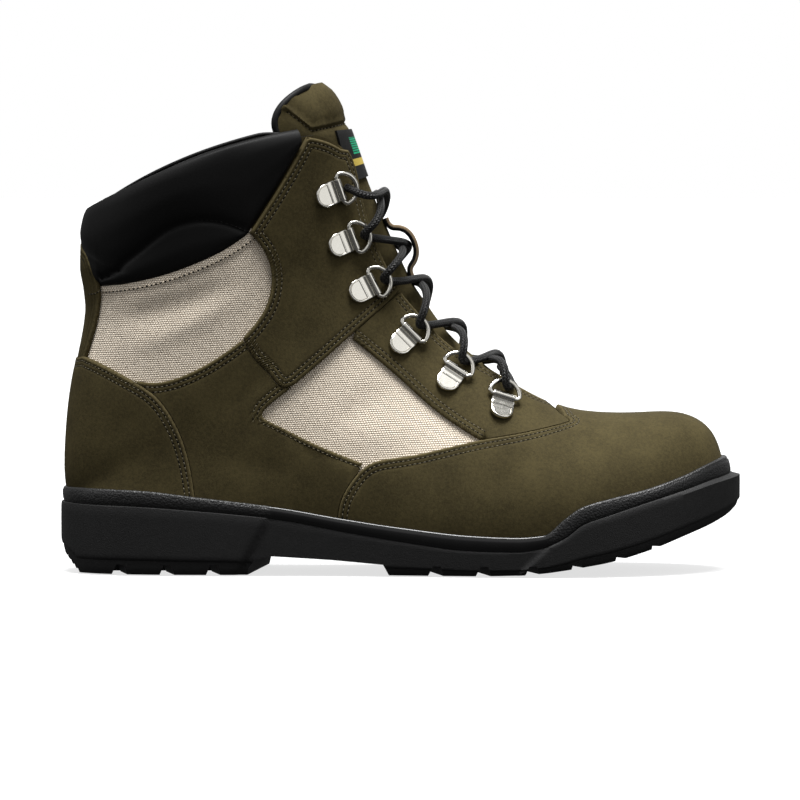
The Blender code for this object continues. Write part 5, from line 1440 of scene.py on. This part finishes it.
def make_leather(last, throat, looks):
    """Counter, vamp, heel strip, quarters, ankle panels and eyestays, with all their sewn edges."""
    first = (GAP, GAP + PANEL_THICKNESS)
    second = (GAP, GAP + PANEL_THICKNESS + OVERLAP_STEP)
    counter_run = smooth_run(COUNTER_EDGE, 1.5)
    vamp_run = smooth_run(VAMP_EDGE, 1.5)
    counter = last.trace(counter_run)
    counter[0, 1] = counter[-1, 1] = -1.0
    rear = [Edge(counter, True), Edge(straight(counter[-1], (HEEL_END, -1.0)), False),
            Edge(straight((HEEL_END, -1.0), counter[0]), False)]
    piece = make_panel("heel_counter_leather", last, both_sides(rear), *second, looks, 2.6, LEATHER_CREASES)
    place_piece(piece, "olive_nubuck", "heel_counter")

    vamp = last.trace(vamp_run)
    vamp[0, 1] = -1.0
    crown = np.vstack([vamp, [(VAMP_END, 0.0)]])
    whole = [
        Edge(straight((0.0, -1.0), vamp[0]), False),
        Edge(np.vstack([crown, mirrored(crown)[1:]]), True),
        Edge(straight(vamp[0] * (1, -1), (0.0, 1.0)), False),
        Edge(np.array([(0.0, 1.0), (0.0, 0.0), (0.0, -1.0)]), False),
    ]
    piece = make_panel("vamp_leather", last, [whole], *second, looks, 2.6, LEATHER_CREASES)
    place_piece(piece, "olive_nubuck", "vamp")

    strip = last.trace(smooth_run(STRIP_EDGE, 1.5))
    tab = last.trace([STRIP_TOP])
    tab[0, 1] = -1.0
    foot = counter[0] - np.array([0.25, 0.0])
    strip = np.vstack([strip[:-1], tab])
    band = [Edge(np.vstack([[foot], strip[:1]]), False), Edge(strip, True),
            Edge(straight(tab[0], foot), False)]

    def strip_low(s, c):
        return GAP + np.interp(s, STRIP_LIFT_S, STRIP_LIFT)

    def strip_high(s, c):
        return strip_low(s, c) + PANEL_THICKNESS

    piece = make_panel("heel_strip_leather", last, both_sides(band), strip_low, strip_high, looks, 2.0,
                       kind="strip")
    place_piece(piece, "olive_nubuck", "heel_strip")
    for side in (1.0, -1.0):
        fold = last.trace(smooth_run(STRIP_FOLD, 1.0), 4.0) * np.array([1.0, side])
        add_sewing("leather", last, fold, strip_high(fold[:, 0], fold[:, 1]) + 0.1)

    behind = shift_run(counter_run, GAP)
    ahead = shift_run(vamp_run, GAP)
    corner = smooth_run(ANKLE_CORNER, 1.2)
    floor = smooth_run(ANKLE_FLOOR, 1.5)
    rear = last.trace(behind[behind[:, 0] > WINDOW_FLOOR[-1][0] + 1.0][::-1])
    front = last.trace(ahead[ahead[:, 0] < QUARTER_FRONT[0][0] - 1.0][::-1])
    rear[0, 1] = front[-1, 1] = -1.0
    quarter = [
        Edge(rear, False),
        Edge(last.trace(smooth_run(WINDOW_FLOOR, 1.5)[::-1]), True),
        Edge(last.trace(shift_run(corner, -GAP)[1:-1]), False),
        Edge(last.trace(smooth_run(QUARTER_FRONT, 1.2)[::-1]), True),
        Edge(front, False),
        Edge(straight(front[-1], rear[0]), False),
    ]
    low_end = last.trace([ANKLE_FLOOR[-1]])[0, 0]
    high_end = last.trace([ANKLE_TOP[0]])[0, 0]
    ankle = [
        Edge(np.vstack([last.trace(smooth_run(WINDOW_FRONT, 1.5)), last.trace(corner)[1:],
                        last.trace(floor)[1:-1], throat(np.linspace(low_end + 0.06, high_end - 0.1, 40)),
                        last.trace(smooth_run(ANKLE_TOP, 1.5)),
                        last.trace(smooth_run(COLLAR_FRONT, 1.5)[1:])]), True),
    ]
    under = last.trace(ahead[ahead[:, 0] > EYESTAY_FLOOR[0][0] + 1.0][::-1])
    stay = throat(np.linspace(low_end - 0.06, 6.21, 44))
    eyestay = [
        Edge(last.trace(shift_run(floor, -GAP)[floor[:, 0] > -20.0][:-1]), False),
        Edge(stay, True),
        Edge(np.vstack([stay[-1:], under]), False),
        Edge(last.trace(smooth_run(EYESTAY_FLOOR, 1.5)), True),
    ]
    panels = {"quarter": (quarter, first), "ankle_panel": (ankle, second), "eyestay": (eyestay, first)}
    for name, (edges, layer) in panels.items():
        for which, run in zip(("lateral", "medial"), both_sides(edges)):
            node = name + "_" + which
            piece = make_panel(node + "_leather", last, [run], *layer, looks, 2.6, LEATHER_CREASES)
            place_piece(piece, "olive_nubuck", node)


def make_collar(last, lining, binding):
    """Padded cuff: crescent and roll with a sewn seam between them, over the topline to the lining pad."""
    back = last.trace([(-160.0, WINDOW_TOP[0][1])])
    back[0, 1] = -1.0
    front_run = shift_run(smooth_run(COLLAR_FRONT, 2.0), -2 * GAP)[::-1]
    edge = np.vstack([back, last.trace(smooth_run(WINDOW_TOP, 2.0)[:-1]), last.trace(front_run)])
    seam = last.trace(smooth_run(COLLAR_SEAM, 2.0), GAP + 2.0)
    start = np.interp(TOPLINE - COLLAR_FRONT_HEIGHT, edge[:, 0][-12:], edge[:, 1][-12:])
    half = np.linspace(start, -1.0, 110)
    columns = np.concatenate([half, -half[-2::-1]])
    inner = -(SHELL_WALL + 1.5 * GAP)
    rings = []
    for c in columns:
        low = float(np.interp(-abs(c), edge[:, 1], edge[:, 0]))
        tall = TOPLINE - low
        full = np.interp(abs(c), COLLAR_PAD_AROUND, COLLAR_PAD_SHARE)
        swell = max(full, 0.55)
        split = float(np.interp(-abs(c), seam[:, 1], seam[:, 0], low, low))
        split = max(split, low)
        pad = [(low + (split - low) * row.height, row.thickness) for row in CRESCENT_PAD]
        if split - low < 0.12:
            share = max((split - low) / 0.12, 0.0)
            pad = [pad[0], (low + 0.03 * tall, 1.3)] + [row for row in pad[2:] if share > 0.99]
        pad += [(split + (TOPLINE - split) * row.height, row.thickness) for row in ROLL_PAD]
        up = unit(last.at(np.array([TOPLINE, c])) - last.at(np.array([TOPLINE - 0.2, c])))
        drop = min(COLLAR_LINING_DROP, tall + 0.4)
        depth = inner - COLLAR_LINING * full
        outer = [last.at(np.array([s, c]), GAP + thick * swell) for s, thick in pad]
        top = np.array([TOPLINE, c])
        outer.append(last.at(top, GAP + 3.2 * full) + up * COLLAR_ROLL * 0.8)
        outer.append(last.at(top, -SHELL_WALL / 2) + up * COLLAR_ROLL)
        outer.append(last.at(top, inner - 2.6 * full) + up * COLLAR_ROLL * 0.7)
        outer.append(last.at(np.array([TOPLINE - 0.15 * drop, c]), depth))
        outer.append(last.at(np.array([TOPLINE - 0.6 * drop, c]), depth))
        outer.append(last.at(np.array([TOPLINE - drop, c]), inner - 0.8))
        outer = np.array(outer)
        length = run_length(outer)
        smooth = [steady_curve(length, outer[:, k])(np.linspace(0.0, length[-1], 72)) for k in range(3)]
        hidden = [last.at(np.array([TOPLINE - drop, c]), inner), last.at(top, inner) + up * GAP,
                  last.at(top, 1.5 * GAP) + up * GAP, last.at(np.array([low + 0.5 * tall, c]), 1.5 * GAP),
                  last.at(np.array([low, c]), GAP)]
        rings.append(np.vstack([np.stack(smooth, -1), hidden]))
    count = len(rings[0])
    points = np.vstack(rings)
    out = unit(np.array([ring[20] - ring[-1] for ring in rings]))
    out = np.tile(out[:, None], (1, count, 1)).reshape(-1, 3)
    shown = np.tile(np.arange(count) < 40, len(rings))
    relief = crease_relief(COLLAR_CREASES, points)
    relief -= SEAM_DEPTH * np.exp(-side_reach(smooth_run(COLLAR_SEAM, 0.5), points) ** 2)
    points = points + out * (relief * shown)[:, None]
    faces = grid_faces(len(rings), count)
    faces += [tuple(range(count)), tuple(range(len(points) - count, len(points)))]
    collar = make_piece("collar_padded", points, faces, [lining], sharp=80.0)
    for side in (1.0, -1.0):
        line = last.trace(smooth_run(COLLAR_SEAM, 1.2), GAP + 2.0) * np.array([1.0, side])
        add_sewing("collar", last, line, np.full(len(line), GAP + 1.0))
    place_piece(collar, "black_lining", "collar")
    rim = []
    for k, c in enumerate(columns[3:-3]):
        top = np.array([TOPLINE, c])
        up = unit(last.at(top) - last.at(np.array([TOPLINE - 0.2, c])))
        sunk = 1 - soft_step(min(k, len(columns) - 7 - k), 0.0, 14.0)
        rim.append(last.at(top, -SHELL_WALL / 2 - 0.8) + up * (COLLAR_ROLL + 1.0 - 2.4 * sunk))
    piping = make_tube("collar_piping", smooth_run(rim, 2.0), 0.8, 10, binding)
    place_piece(piping, "black_lining")
    return collar


def round_tube(path, radius, sides, flat=1.0):
    """Points, faces and UV places of a round cord with closed ends; flat squeezes it across its bend."""
    path = np.asarray(path, float)
    along = unit(np.gradient(path, axis=0))
    level = np.cross(along[0], (0.31, 0.82, 0.48))
    rings = []
    for direction in along:
        level = level - direction * level.dot(direction)
        level /= np.linalg.norm(level)
        rings.append((level, np.cross(direction, level)))
    turn = np.arange(sides) * 2 * math.pi / sides
    length = run_length(path)
    closing = ((0.0, 0.35), (0.25, 0.75), (0.7, 0.95))
    stations = [(0, -radius * (1 - d), r) for d, r in closing] + [(k, 0.0, 1.0) for k in range(len(path))]
    stations += [(len(path) - 1, radius * (1 - d), r) for d, r in closing[::-1]]
    points, travel = [], []
    for k, ahead, share in stations:
        across, rise = rings[k]
        centre = path[k] + along[k] * ahead * 0.8
        reach = radius * share
        points += [centre + reach * (math.cos(a) * across + flat * math.sin(a) * rise) for a in turn]
        travel.append(length[k] + ahead)
    rows = len(stations)
    faces = grid_faces(rows, sides)
    corners = []
    for k in range(rows - 1):
        for i in range(sides):
            corners += [(i / sides, travel[k]), ((i + 1) / sides, travel[k]),
                        ((i + 1) / sides, travel[k + 1]), (i / sides, travel[k + 1])]
    for first in (0, (rows - 1) * sides):
        faces.append(tuple(range(first, first + sides)))
        corners += [(i / sides, travel[0 if first == 0 else -1]) for i in range(sides)]
    return np.array(points), faces, np.array(corners)


def make_tube(name, path, radius, sides, look, flat=1.0):
    points, faces, corners = round_tube(path, radius, sides, flat)
    mesh = bpy.data.meshes.new(name)
    mesh.from_pydata((points * MM).tolist(), [], faces)
    layer = mesh.uv_layers.new(name="places")
    layer.data.foreach_set("uv", corners.astype(np.float32).ravel())
    mesh.materials.append(look)
    face_out(mesh)
    return add_object(name, mesh)


def make_tongue(last, throat, looks):
    """Padded tongue with a bound top edge and a folded seam, its label and the loop that holds the lace."""
    low = last.at_width([row.s for row in TONGUE_LOW], [row.width for row in TONGUE_LOW])
    top_run = last.trace(smooth_run(TONGUE_TOP, 1.5), -TONGUE_DEPTH)
    seam = last.trace(np.vstack([np.linspace(a, b, 12) for a, b in zip(TONGUE_SEAM, TONGUE_SEAM[1:])]),
                      -TONGUE_DEPTH + 2.0)
    seam_order = np.argsort(seam[:, 1])
    seam_c, seam_s = seam[seam_order, 1], seam[seam_order, 0]
    row_length = 11.0

    def crown(s, c):
        reach = np.abs(throat(np.clip(s, THROAT[0].s, 17.2))[:, 1])
        swell = np.clip(s - THROAT_END - 0.2, 0.0, 1.0) * np.clip(1 - (c / reach) ** 2, 0.0, None)
        above = (s - np.interp(-np.abs(c), seam_c, seam_s)) * row_length
        fold = 0.6 * soft_step(above, -0.4, 0.4) * (1 - soft_step(above, 1.3, 2.2))
        groove = -0.5 * np.exp(-((above + 1.2) / 0.7) ** 2)
        pinch = -1.0 * np.exp(-(above / 3.5) ** 2)
        middle = np.clip(1 - (c / 0.3) ** 2, 0.0, None)
        dome = 1.5 * np.sin(math.pi * np.clip(above / 19.0, 0.0, 1.0)) - 3.0 * soft_step(above, 11.0, 19.5)
        return -TONGUE_DEPTH + TONGUE_CROWN * swell + fold + groove + (pinch + dome) * middle

    def under(s, c):
        return np.minimum(crown(s, c) - 3.0, -TONGUE_DEPTH - TONGUE_THICKNESS * 0.8)

    folds = [np.stack([seam_s + away / row_length, seam_c], -1) for away in SEAM_ROWS]
    folds += [mirrored(run) for run in folds]
    top = straight(top_run[-1], top_run[-1] * (1, -1))
    runs = (low, top_run, top, mirrored(top_run), mirrored(low), straight(low[0] * (1, -1), low[0]))
    around = [Edge(run, False) for run in runs]
    covers = looks["leather"], looks["lining"]
    tongue = make_panel("tongue_leather", last, [around], under, crown, covers, 2.2, kind="tongue",
                        extra=folds)
    place_piece(tongue, "olive_nubuck", "tongue")
    row = np.stack([seam_s - 1.2 / row_length, seam_c], -1)
    for places in (row, mirrored(row)):
        add_sewing("leather", last, places, crown(places[:, 0], places[:, 1]) + 0.15)

    bound = last.at_width([15.2, 16.0], [28.6, 29.5])
    bound = np.vstack([bound, top_run[1:]])
    bound = even_run(last, np.vstack([bound, mirrored(bound)]), 3.0)
    path = smooth_run(last.at(bound, np.full(len(bound), -TONGUE_DEPTH - 1.2)), 1.5)
    binding = make_tube("tongue_binding", path, 1.6, 12, looks["binding"])
    place_piece(binding, "black_lining")

    label = np.stack([LABEL_ROWS, -np.array(LABEL_HALF)], -1)
    label = [Edge(label, False), Edge(straight(label[-1], label[-1] * (1, -1)), False),
             Edge(mirrored(label), False), Edge(straight(label[0] * (1, -1), label[0]), False)]
    covers = looks["label"], looks["label"]
    piece = make_panel("tongue_label_woven", last, [label], lambda s, c: crown(s, c) + 0.1,
                       lambda s, c: crown(s, c) + GAP + LABEL_THICKNESS, covers, 1.0, kind="label")
    place_piece(piece, "black_lining", "tongue_label")

    middle = crossing_row(last, KEEPER_ROW)
    base = -TONGUE_DEPTH + TONGUE_CROWN
    line = np.array([last.at(np.array([middle + row.away, 0.0]), base + row.rise) for row in KEEPER_LOOP])
    line = smooth_run(line, 0.8)
    ahead = unit(np.gradient(line, axis=0))
    across = np.array([0.0, 1.0, 0.0])
    out = unit(np.cross(across, ahead))
    half, thick, corner = KEEPER_WIDTH / 2, KEEPER_THICKNESS / 2, 0.5
    section = [(-half + corner, thick), (half - corner, thick), (half, thick - corner), (half, 0.1),
               (half, -thick + corner), (half - corner, -thick), (-half + corner, -thick),
               (-half, -thick + corner), (-half, 0.1), (-half, thick - corner)]
    outward = 1.0 if out[len(out) // 2].dot(last.normal(middle, 0.0)) > 0 else -1.0
    points = np.vstack([[here + across * u + way * outward * w for u, w in section]
                        for here, way in zip(line, out)])
    faces = grid_faces(len(line), len(section))
    part = [0 if k % len(section) in (0, 1, 2, 8, 9) else 1 for k in range(len(faces))]
    faces += [tuple(range(len(section))), tuple(range(len(points) - len(section), len(points)))]
    covers = looks["keeper"], looks["binding"]
    keeper = make_piece("lace_keeper_loop", points, faces, covers, part + [1, 1],
                        {"edge": np.full(len(points), 9.0)})
    place_piece(keeper, "olive_nubuck", "lace_keeper")


def crossing_row(last, row):
    """Section of the last where the crossing below a row of rings has its middle."""
    rows = last.trace([(place.ring_x, place.ring_z) for place in RING_PLACES[row:row + 2]])
    return float(rows[:, 0].mean()) - (KEEPER_DROP if row == KEEPER_ROW else 0.0)


def ring_frames(last):
    """Frame of each ring's bar by side: origin, way to the ring, along the bar, out of the boot."""
    frames = {"lateral": [], "medial": []}
    eye = WIRE_RADIUS + 0.7 * GAP + CLIP_STRIP
    flip = np.array([1.0, -1.0, 1.0])
    for row in RING_PLACES:
        plate, ring = last.trace([(row.plate_x, row.plate_z), (row.ring_x, row.ring_z)])
        place = plate + (ring - plate) * 0.55
        layer = PANEL_THICKNESS + (OVERLAP_STEP if row.plate_z > ANKLE_RINGS_ABOVE else 0.0)
        out = last.normal(*place)
        forward = last.at(ring) - last.at(plate)
        forward = unit(forward - out * forward.dot(out))
        across = np.cross(out, forward)
        origin = last.at(place) + out * (GAP + layer + GAP + eye)
        frames["lateral"].append((origin, forward, across, out))
        shift = last.at(place * (1, -1))[1] + last.at(place)[1]
        frames["medial"].append((origin * flip + np.array([0.0, shift, 0.0]), forward * flip, -across * flip,
                                 out * flip))
    return frames


def in_frame(frame, points):
    origin, forward, across, out = frame
    return origin + points @ np.stack([forward, across, out])


def ring_shape():
    """D-shaped wire: straight bar along y, bow towards +x, tilted out."""
    bar = np.linspace(-RING_HALF_WIDTH + RING_CORNER, RING_HALF_WIDTH - RING_CORNER, 6)
    path = [(0.0, y) for y in bar]
    for turn in np.linspace(math.pi / 2, -math.pi / 2, 34):
        reach = RING_CORNER + (RING_REACH - RING_CORNER) * math.cos(turn)
        path.append((reach, RING_HALF_WIDTH * math.sin(turn)))
    path = np.array(path)
    along = unit(np.roll(path, -1, axis=0) - np.roll(path, 1, axis=0))
    turn = np.arange(12) * math.pi / 6
    points = []
    for here, way in zip(path, along):
        wide = WIRE_RADIUS * np.cos(turn)
        x = here[0] + way[1] * wide
        z = WIRE_RADIUS * np.sin(turn)
        points.append(np.stack([x * math.cos(RING_TILT) - z * math.sin(RING_TILT),
                                here[1] - way[0] * wide,
                                x * math.sin(RING_TILT) + z * math.cos(RING_TILT)], -1))
    return np.vstack(points), grid_faces(len(path), 12, closed_rows=True)


def clip_shape():
    """Strip folded around the ring's bar (along y at the origin), and its round plate with a rolled rim."""
    outer = WIRE_RADIUS + 0.7 * GAP + CLIP_STRIP
    half = CLIP_WIDTH / 2
    plate = CLIP_THICKNESS - outer
    turn = np.linspace(math.pi / 2, 1.5 * math.pi, 21)
    loops = []
    for row in PLATE_RIM:
        reach = half - row.inset
        neck = [PLATE_NECK - row.inset]
        x = np.concatenate([neck, half - CLIP_LENGTH + reach * np.cos(turn), neck])
        y = np.concatenate([[reach], reach * np.sin(turn), [-reach]])
        loops.append(np.stack([x, y, np.full(len(x), plate + row.rise)], -1))
    count = len(loops[0])
    faces = grid_faces(len(loops), count)
    faces += [tuple(range(count)), tuple(range((len(loops) - 1) * count, len(loops) * count))]
    first = len(loops) * count

    x = np.linspace(PLATE_NECK - 0.2, 1.2, 30)
    drum = np.sqrt(np.maximum(outer**2 - np.clip(x, -outer, outer) ** 2, 0.0))
    rise = plate + (drum - plate) * soft_step(x, -2.3, -1.2)
    rise = rise - 0.3 * np.exp(-((x + 2.5) / 0.25) ** 2)
    rings = []
    for place, top in zip(x, rise):
        edge = [(half, -outer), (half, top - 0.35), (half - 0.1, top - 0.1), (half - 0.35, top),
                (half - 0.7, top)]
        rings.append([(place, -y, z) for y, z in edge] + [(place, y, z) for y, z in edge[::-1]])
    count = len(rings[0])
    strip = grid_faces(len(rings), count)
    strip += [tuple(range(count)), tuple(range((len(rings) - 1) * count, len(rings) * count))]
    faces += [tuple(first + k for k in face) for face in strip]
    return np.vstack(loops + [np.array(rings).reshape(-1, 3)]), faces


def make_rings(frames, nickel):
    """All rings as one piece and all clips as another."""
    for name, (shape, faces) in (("ring", ring_shape()), ("clip", clip_shape())):
        points, all_faces, nodes = [], [], []
        for which, rows in frames.items():
            for i, row in enumerate(rows):
                all_faces += [tuple(v + len(points) * len(shape) for v in face) for face in faces]
                points.append(in_frame(row, shape))
                nodes.append(name + "_" + which + "_" + str(i + 1))
        piece = make_piece(name + "s_nickel", np.vstack(points), all_faces, [nickel], sharp=40.0)
        place_piece(piece, "nickel_wire", *nodes)


def lace_route(last, frames):
    """Route of the one lace: from the top ring of the outer side down to the bar and up again.

    Its places at a ring are given ahead of the ring's bar, up along it and out of the boot.
    """
    bow_rise = RING_REACH * math.sin(RING_TILT)
    over = np.array([6.4, 1.7, bow_rise + WIRE_RADIUS + LACE_RADIUS + 0.1])
    within = np.array([4.7, 0.2, 2.2])
    tail = np.array([3.9, -0.4, -0.2])
    below = np.array([7.6, -2.0, -0.4])

    def spot(which, row, place):
        origin, forward, across, out = frames[which][row]
        up = across if across[2] > 0 else -across
        return origin + forward * place[0] + up * place[1] + out * place[2]

    def middle(row, rise):
        place = np.array([crossing_row(last, row), 0.0])
        return last.at(place, -TONGUE_DEPTH + TONGUE_CROWN + rise)

    lowest = len(RING_PLACES) - 1
    route = [spot("lateral", 0, tail), spot("lateral", 0, over * (1.0, -2.6, 0.95))]
    sides = ("medial", "lateral")
    for row in range(lowest):
        which = sides[row % 2]
        route.append(middle(row, LACE_OVER[row][row % 2]))
        route += [spot(which, row + 1, place) for place in (over, within, below)]
    route.append(last.at(last.trace([LACE_BAR])[0] * (1, 0), -TONGUE_DEPTH + TONGUE_CROWN + LACE_BAR_RISE))
    for row in range(lowest, 0, -1):
        which = sides[row % 2]
        route += [spot(which, row, place) for place in (below, within, over)]
        route.append(middle(row - 1, LACE_OVER[row - 1][(row - 1) % 2 == 0]))
    route += [spot("medial", 0, over * (1.0, -2.6, 0.95)), spot("medial", 0, tail)]
    return np.array(route)


def make_lace(last, frames, look):
    path = smooth_run(lace_route(last, frames), 0.9)
    lace = make_tube("lace_threaded", path, LACE_RADIUS, 14, look)
    crossings = ["lace_crossing_" + str(row + 1) for row in range(len(RING_PLACES) - 1)]
    place_piece(lace, "black_lace", *crossings, "lace_bar")
    return lace, path


def make_studio():
    """Pale floor, white surroundings, a soft sun and soft lights around the boot, and the camera."""
    floor_mesh = bpy.data.meshes.new("studio_floor")
    floor_mesh.from_pydata([(x, y, -0.0006) for x, y in ((-60, -60), (60, -60), (60, 60), (-60, 60))], [],
                           [(0, 1, 2, 3)])
    floor_look = Look("pale_floor", Roughness=0.9, Emission_Strength=0.72)
    floor_look.shader.inputs["Emission Color"].default_value = colour(1.0, 1.0, 1.0)
    tone = floor_look.noise(floor_look.spot(), 60.0, 2.0)
    floor_mesh.materials.append(floor_look.shade(
        Base_Color=floor_look.mix(tone, colour(0.26, 0.26, 0.26), colour(0.29, 0.29, 0.29))))
    floor = add_object("studio_floor", floor_mesh)
    floor.visible_diffuse = False
    floor.visible_glossy = False

    world = bpy.data.worlds.new("studio")
    bpy.context.scene.world = world
    world.use_nodes = True
    nodes, links = world.node_tree.nodes, world.node_tree.links

    def glow(strength):
        wall = nodes.new("ShaderNodeBackground")
        wall.inputs["Color"].default_value = (1.0, 1.0, 1.0, 1.0)
        wall.inputs["Strength"].default_value = strength
        return wall.outputs[0]

    def blend(share, first, second):
        mixed = nodes.new("ShaderNodeMixShader")
        for socket, source in zip(mixed.inputs, (share, first, second)):
            links.new(source, socket)
        return mixed.outputs[0]

    way, parts = nodes.new("ShaderNodeTexCoord"), nodes.new("ShaderNodeSeparateXYZ")
    level, seen = nodes.new("ShaderNodeMapRange"), nodes.new("ShaderNodeLightPath")
    links.new(way.outputs["Generated"], parts.inputs[0])
    links.new(parts.outputs["Z"], level.inputs["Value"])
    level.inputs["From Min"].default_value = -0.25
    level.inputs["From Max"].default_value = 0.25
    room = blend(level.outputs["Result"], glow(ROOM_LIGHT_BELOW), glow(ROOM_LIGHT))
    links.new(blend(seen.outputs["Is Camera Ray"], room, glow(1.0)), nodes["World Output"].inputs["Surface"])

    def hang(name, kind, place, power):
        lamp = bpy.data.lights.new(name, kind)
        lamp.energy = power
        holder = add_object(name, lamp)
        holder.location = place
        holder.rotation_euler = (Vector(LIGHTS_AIM) - Vector(place)).to_track_quat("-Z", "Y").to_euler()
        return lamp

    hang("light_above", "SUN", SUN_PLACE, SUN_POWER).angle = SUN_ANGLE
    for light in SOFT_LIGHTS:
        lamp = hang(light.name, "AREA", light.place, light.power)
        lamp.shape = "RECTANGLE"
        lamp.size = light.wide
        lamp.size_y = light.tall

    lens = bpy.data.cameras.new("camera")
    lens.sensor_width = SENSOR
    place, aim = Vector(CAMERA_PLACE) * MM, Vector(CAMERA_AIM) * MM
    lens.lens = SENSOR * (aim - place).length / (SEEN_WIDTH * MM)
    camera = add_object("camera", lens)
    camera.location = place
    camera.rotation_euler = (aim - place).to_track_quat("-Z", "Y").to_euler()
    bpy.context.scene.camera = camera
    bpy.context.scene.view_settings.view_transform = "Standard"


def make_boot():
    plan = SolePlan(SOLE_OUTLINE)
    last = Last(SECTIONS, plan)
    side = sole_side()
    half_gap = spline([row.s for row in THROAT], [row.width for row in THROAT])

    def throat(s):
        return last.at_width(s, half_gap(s))

    leather = nubuck("olive_nubuck_look", colour(0.030, 0.0238, 0.0098), colour(0.068, 0.0545, 0.0228),
                     colour(0.115, 0.092, 0.043))
    lining = smooth_lining("black_lining_look", 0.16)
    binding = smooth_lining("binding_look", 0.2, 0.9)
    nickel = polished_nickel("nickel_look")
    looks = {
        "leather": leather,
        "lining": lining,
        "binding": binding,
        "label": woven_label("label_look"),
        "keeper": nubuck("keeper_look", colour(0.13, 0.095, 0.057), colour(0.24, 0.178, 0.11),
                         colour(0.3, 0.22, 0.14)),
    }
    make_outsole(plan, last, side, moulded_rubber("sole_rubber_look", False))
    make_rand(plan, last, side, moulded_rubber("rand_rubber_look", True))
    make_upper(last, throat, (woven_canvas("canvas_look"), lining, leather))
    make_leather(last, throat, (leather, leather))
    make_collar(last, lining, binding)
    make_tongue(last, throat, looks)
    frames = ring_frames(last)
    make_rings(frames, nickel)
    lace, path = make_lace(last, frames, braided_cord("black_lace_look"))
    tree, sockets = sewing_tree()
    stitch = {"Pitch": STITCH_PITCH, "Length": 1.25, "Width": 0.55, "Height": 0.5, "Shift": STITCH_PITCH / 2}
    hole = {"Pitch": STITCH_PITCH, "Length": 1.1, "Width": 0.85, "Height": 0.3, "Shift": 0.0}
    threads = {
        "leather": ("olive_nubuck", sewing_thread("olive_thread_look", colour(0.035, 0.029, 0.015),
                                                  colour(0.15, 0.125, 0.072), 0.5)),
        "collar": ("black_lining", sewing_thread("black_thread_look", colour(0.001, 0.001, 0.001),
                                                 colour(0.005, 0.005, 0.005), 0.2)),
        "canvas": ("beige_canvas", sewing_thread("canvas_thread_look", colour(0.45, 0.38, 0.28),
                                                 colour(0.6, 0.53, 0.42), 0.3)),
    }
    for kind, (slot, thread) in threads.items():
        place_piece(sew(kind + "_stitches", tree, sockets, sewing[kind], stitch, thread), slot)
    # Needle holes are drawn as black beads just under the stitches: painted shade in the holes.
    holes = [(points - way * 0.05, way) for rows in sewing.values() for points, way in rows]
    hole_shade_look = sewing_thread("needle_hole_shade_look", colour(0.001, 0.001, 0.001), colour(0.003, 0.003, 0.002), 0.1)
    place_piece(sew("needle_hole_shade", tree, sockets, holes, hole, hole_shade_look), "black_lining")
    insole = frame["nodes"]["insole"]
    insole.data.materials.clear()
    insole.data.materials.append(footbed_foam("footbed_foam_look"))
    return lace, path


make_studio()
lace, lace_path = make_boot()
lace_path[0] * MM
run_length(lace_path)[-1] * MM
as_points(lace_path * MM)
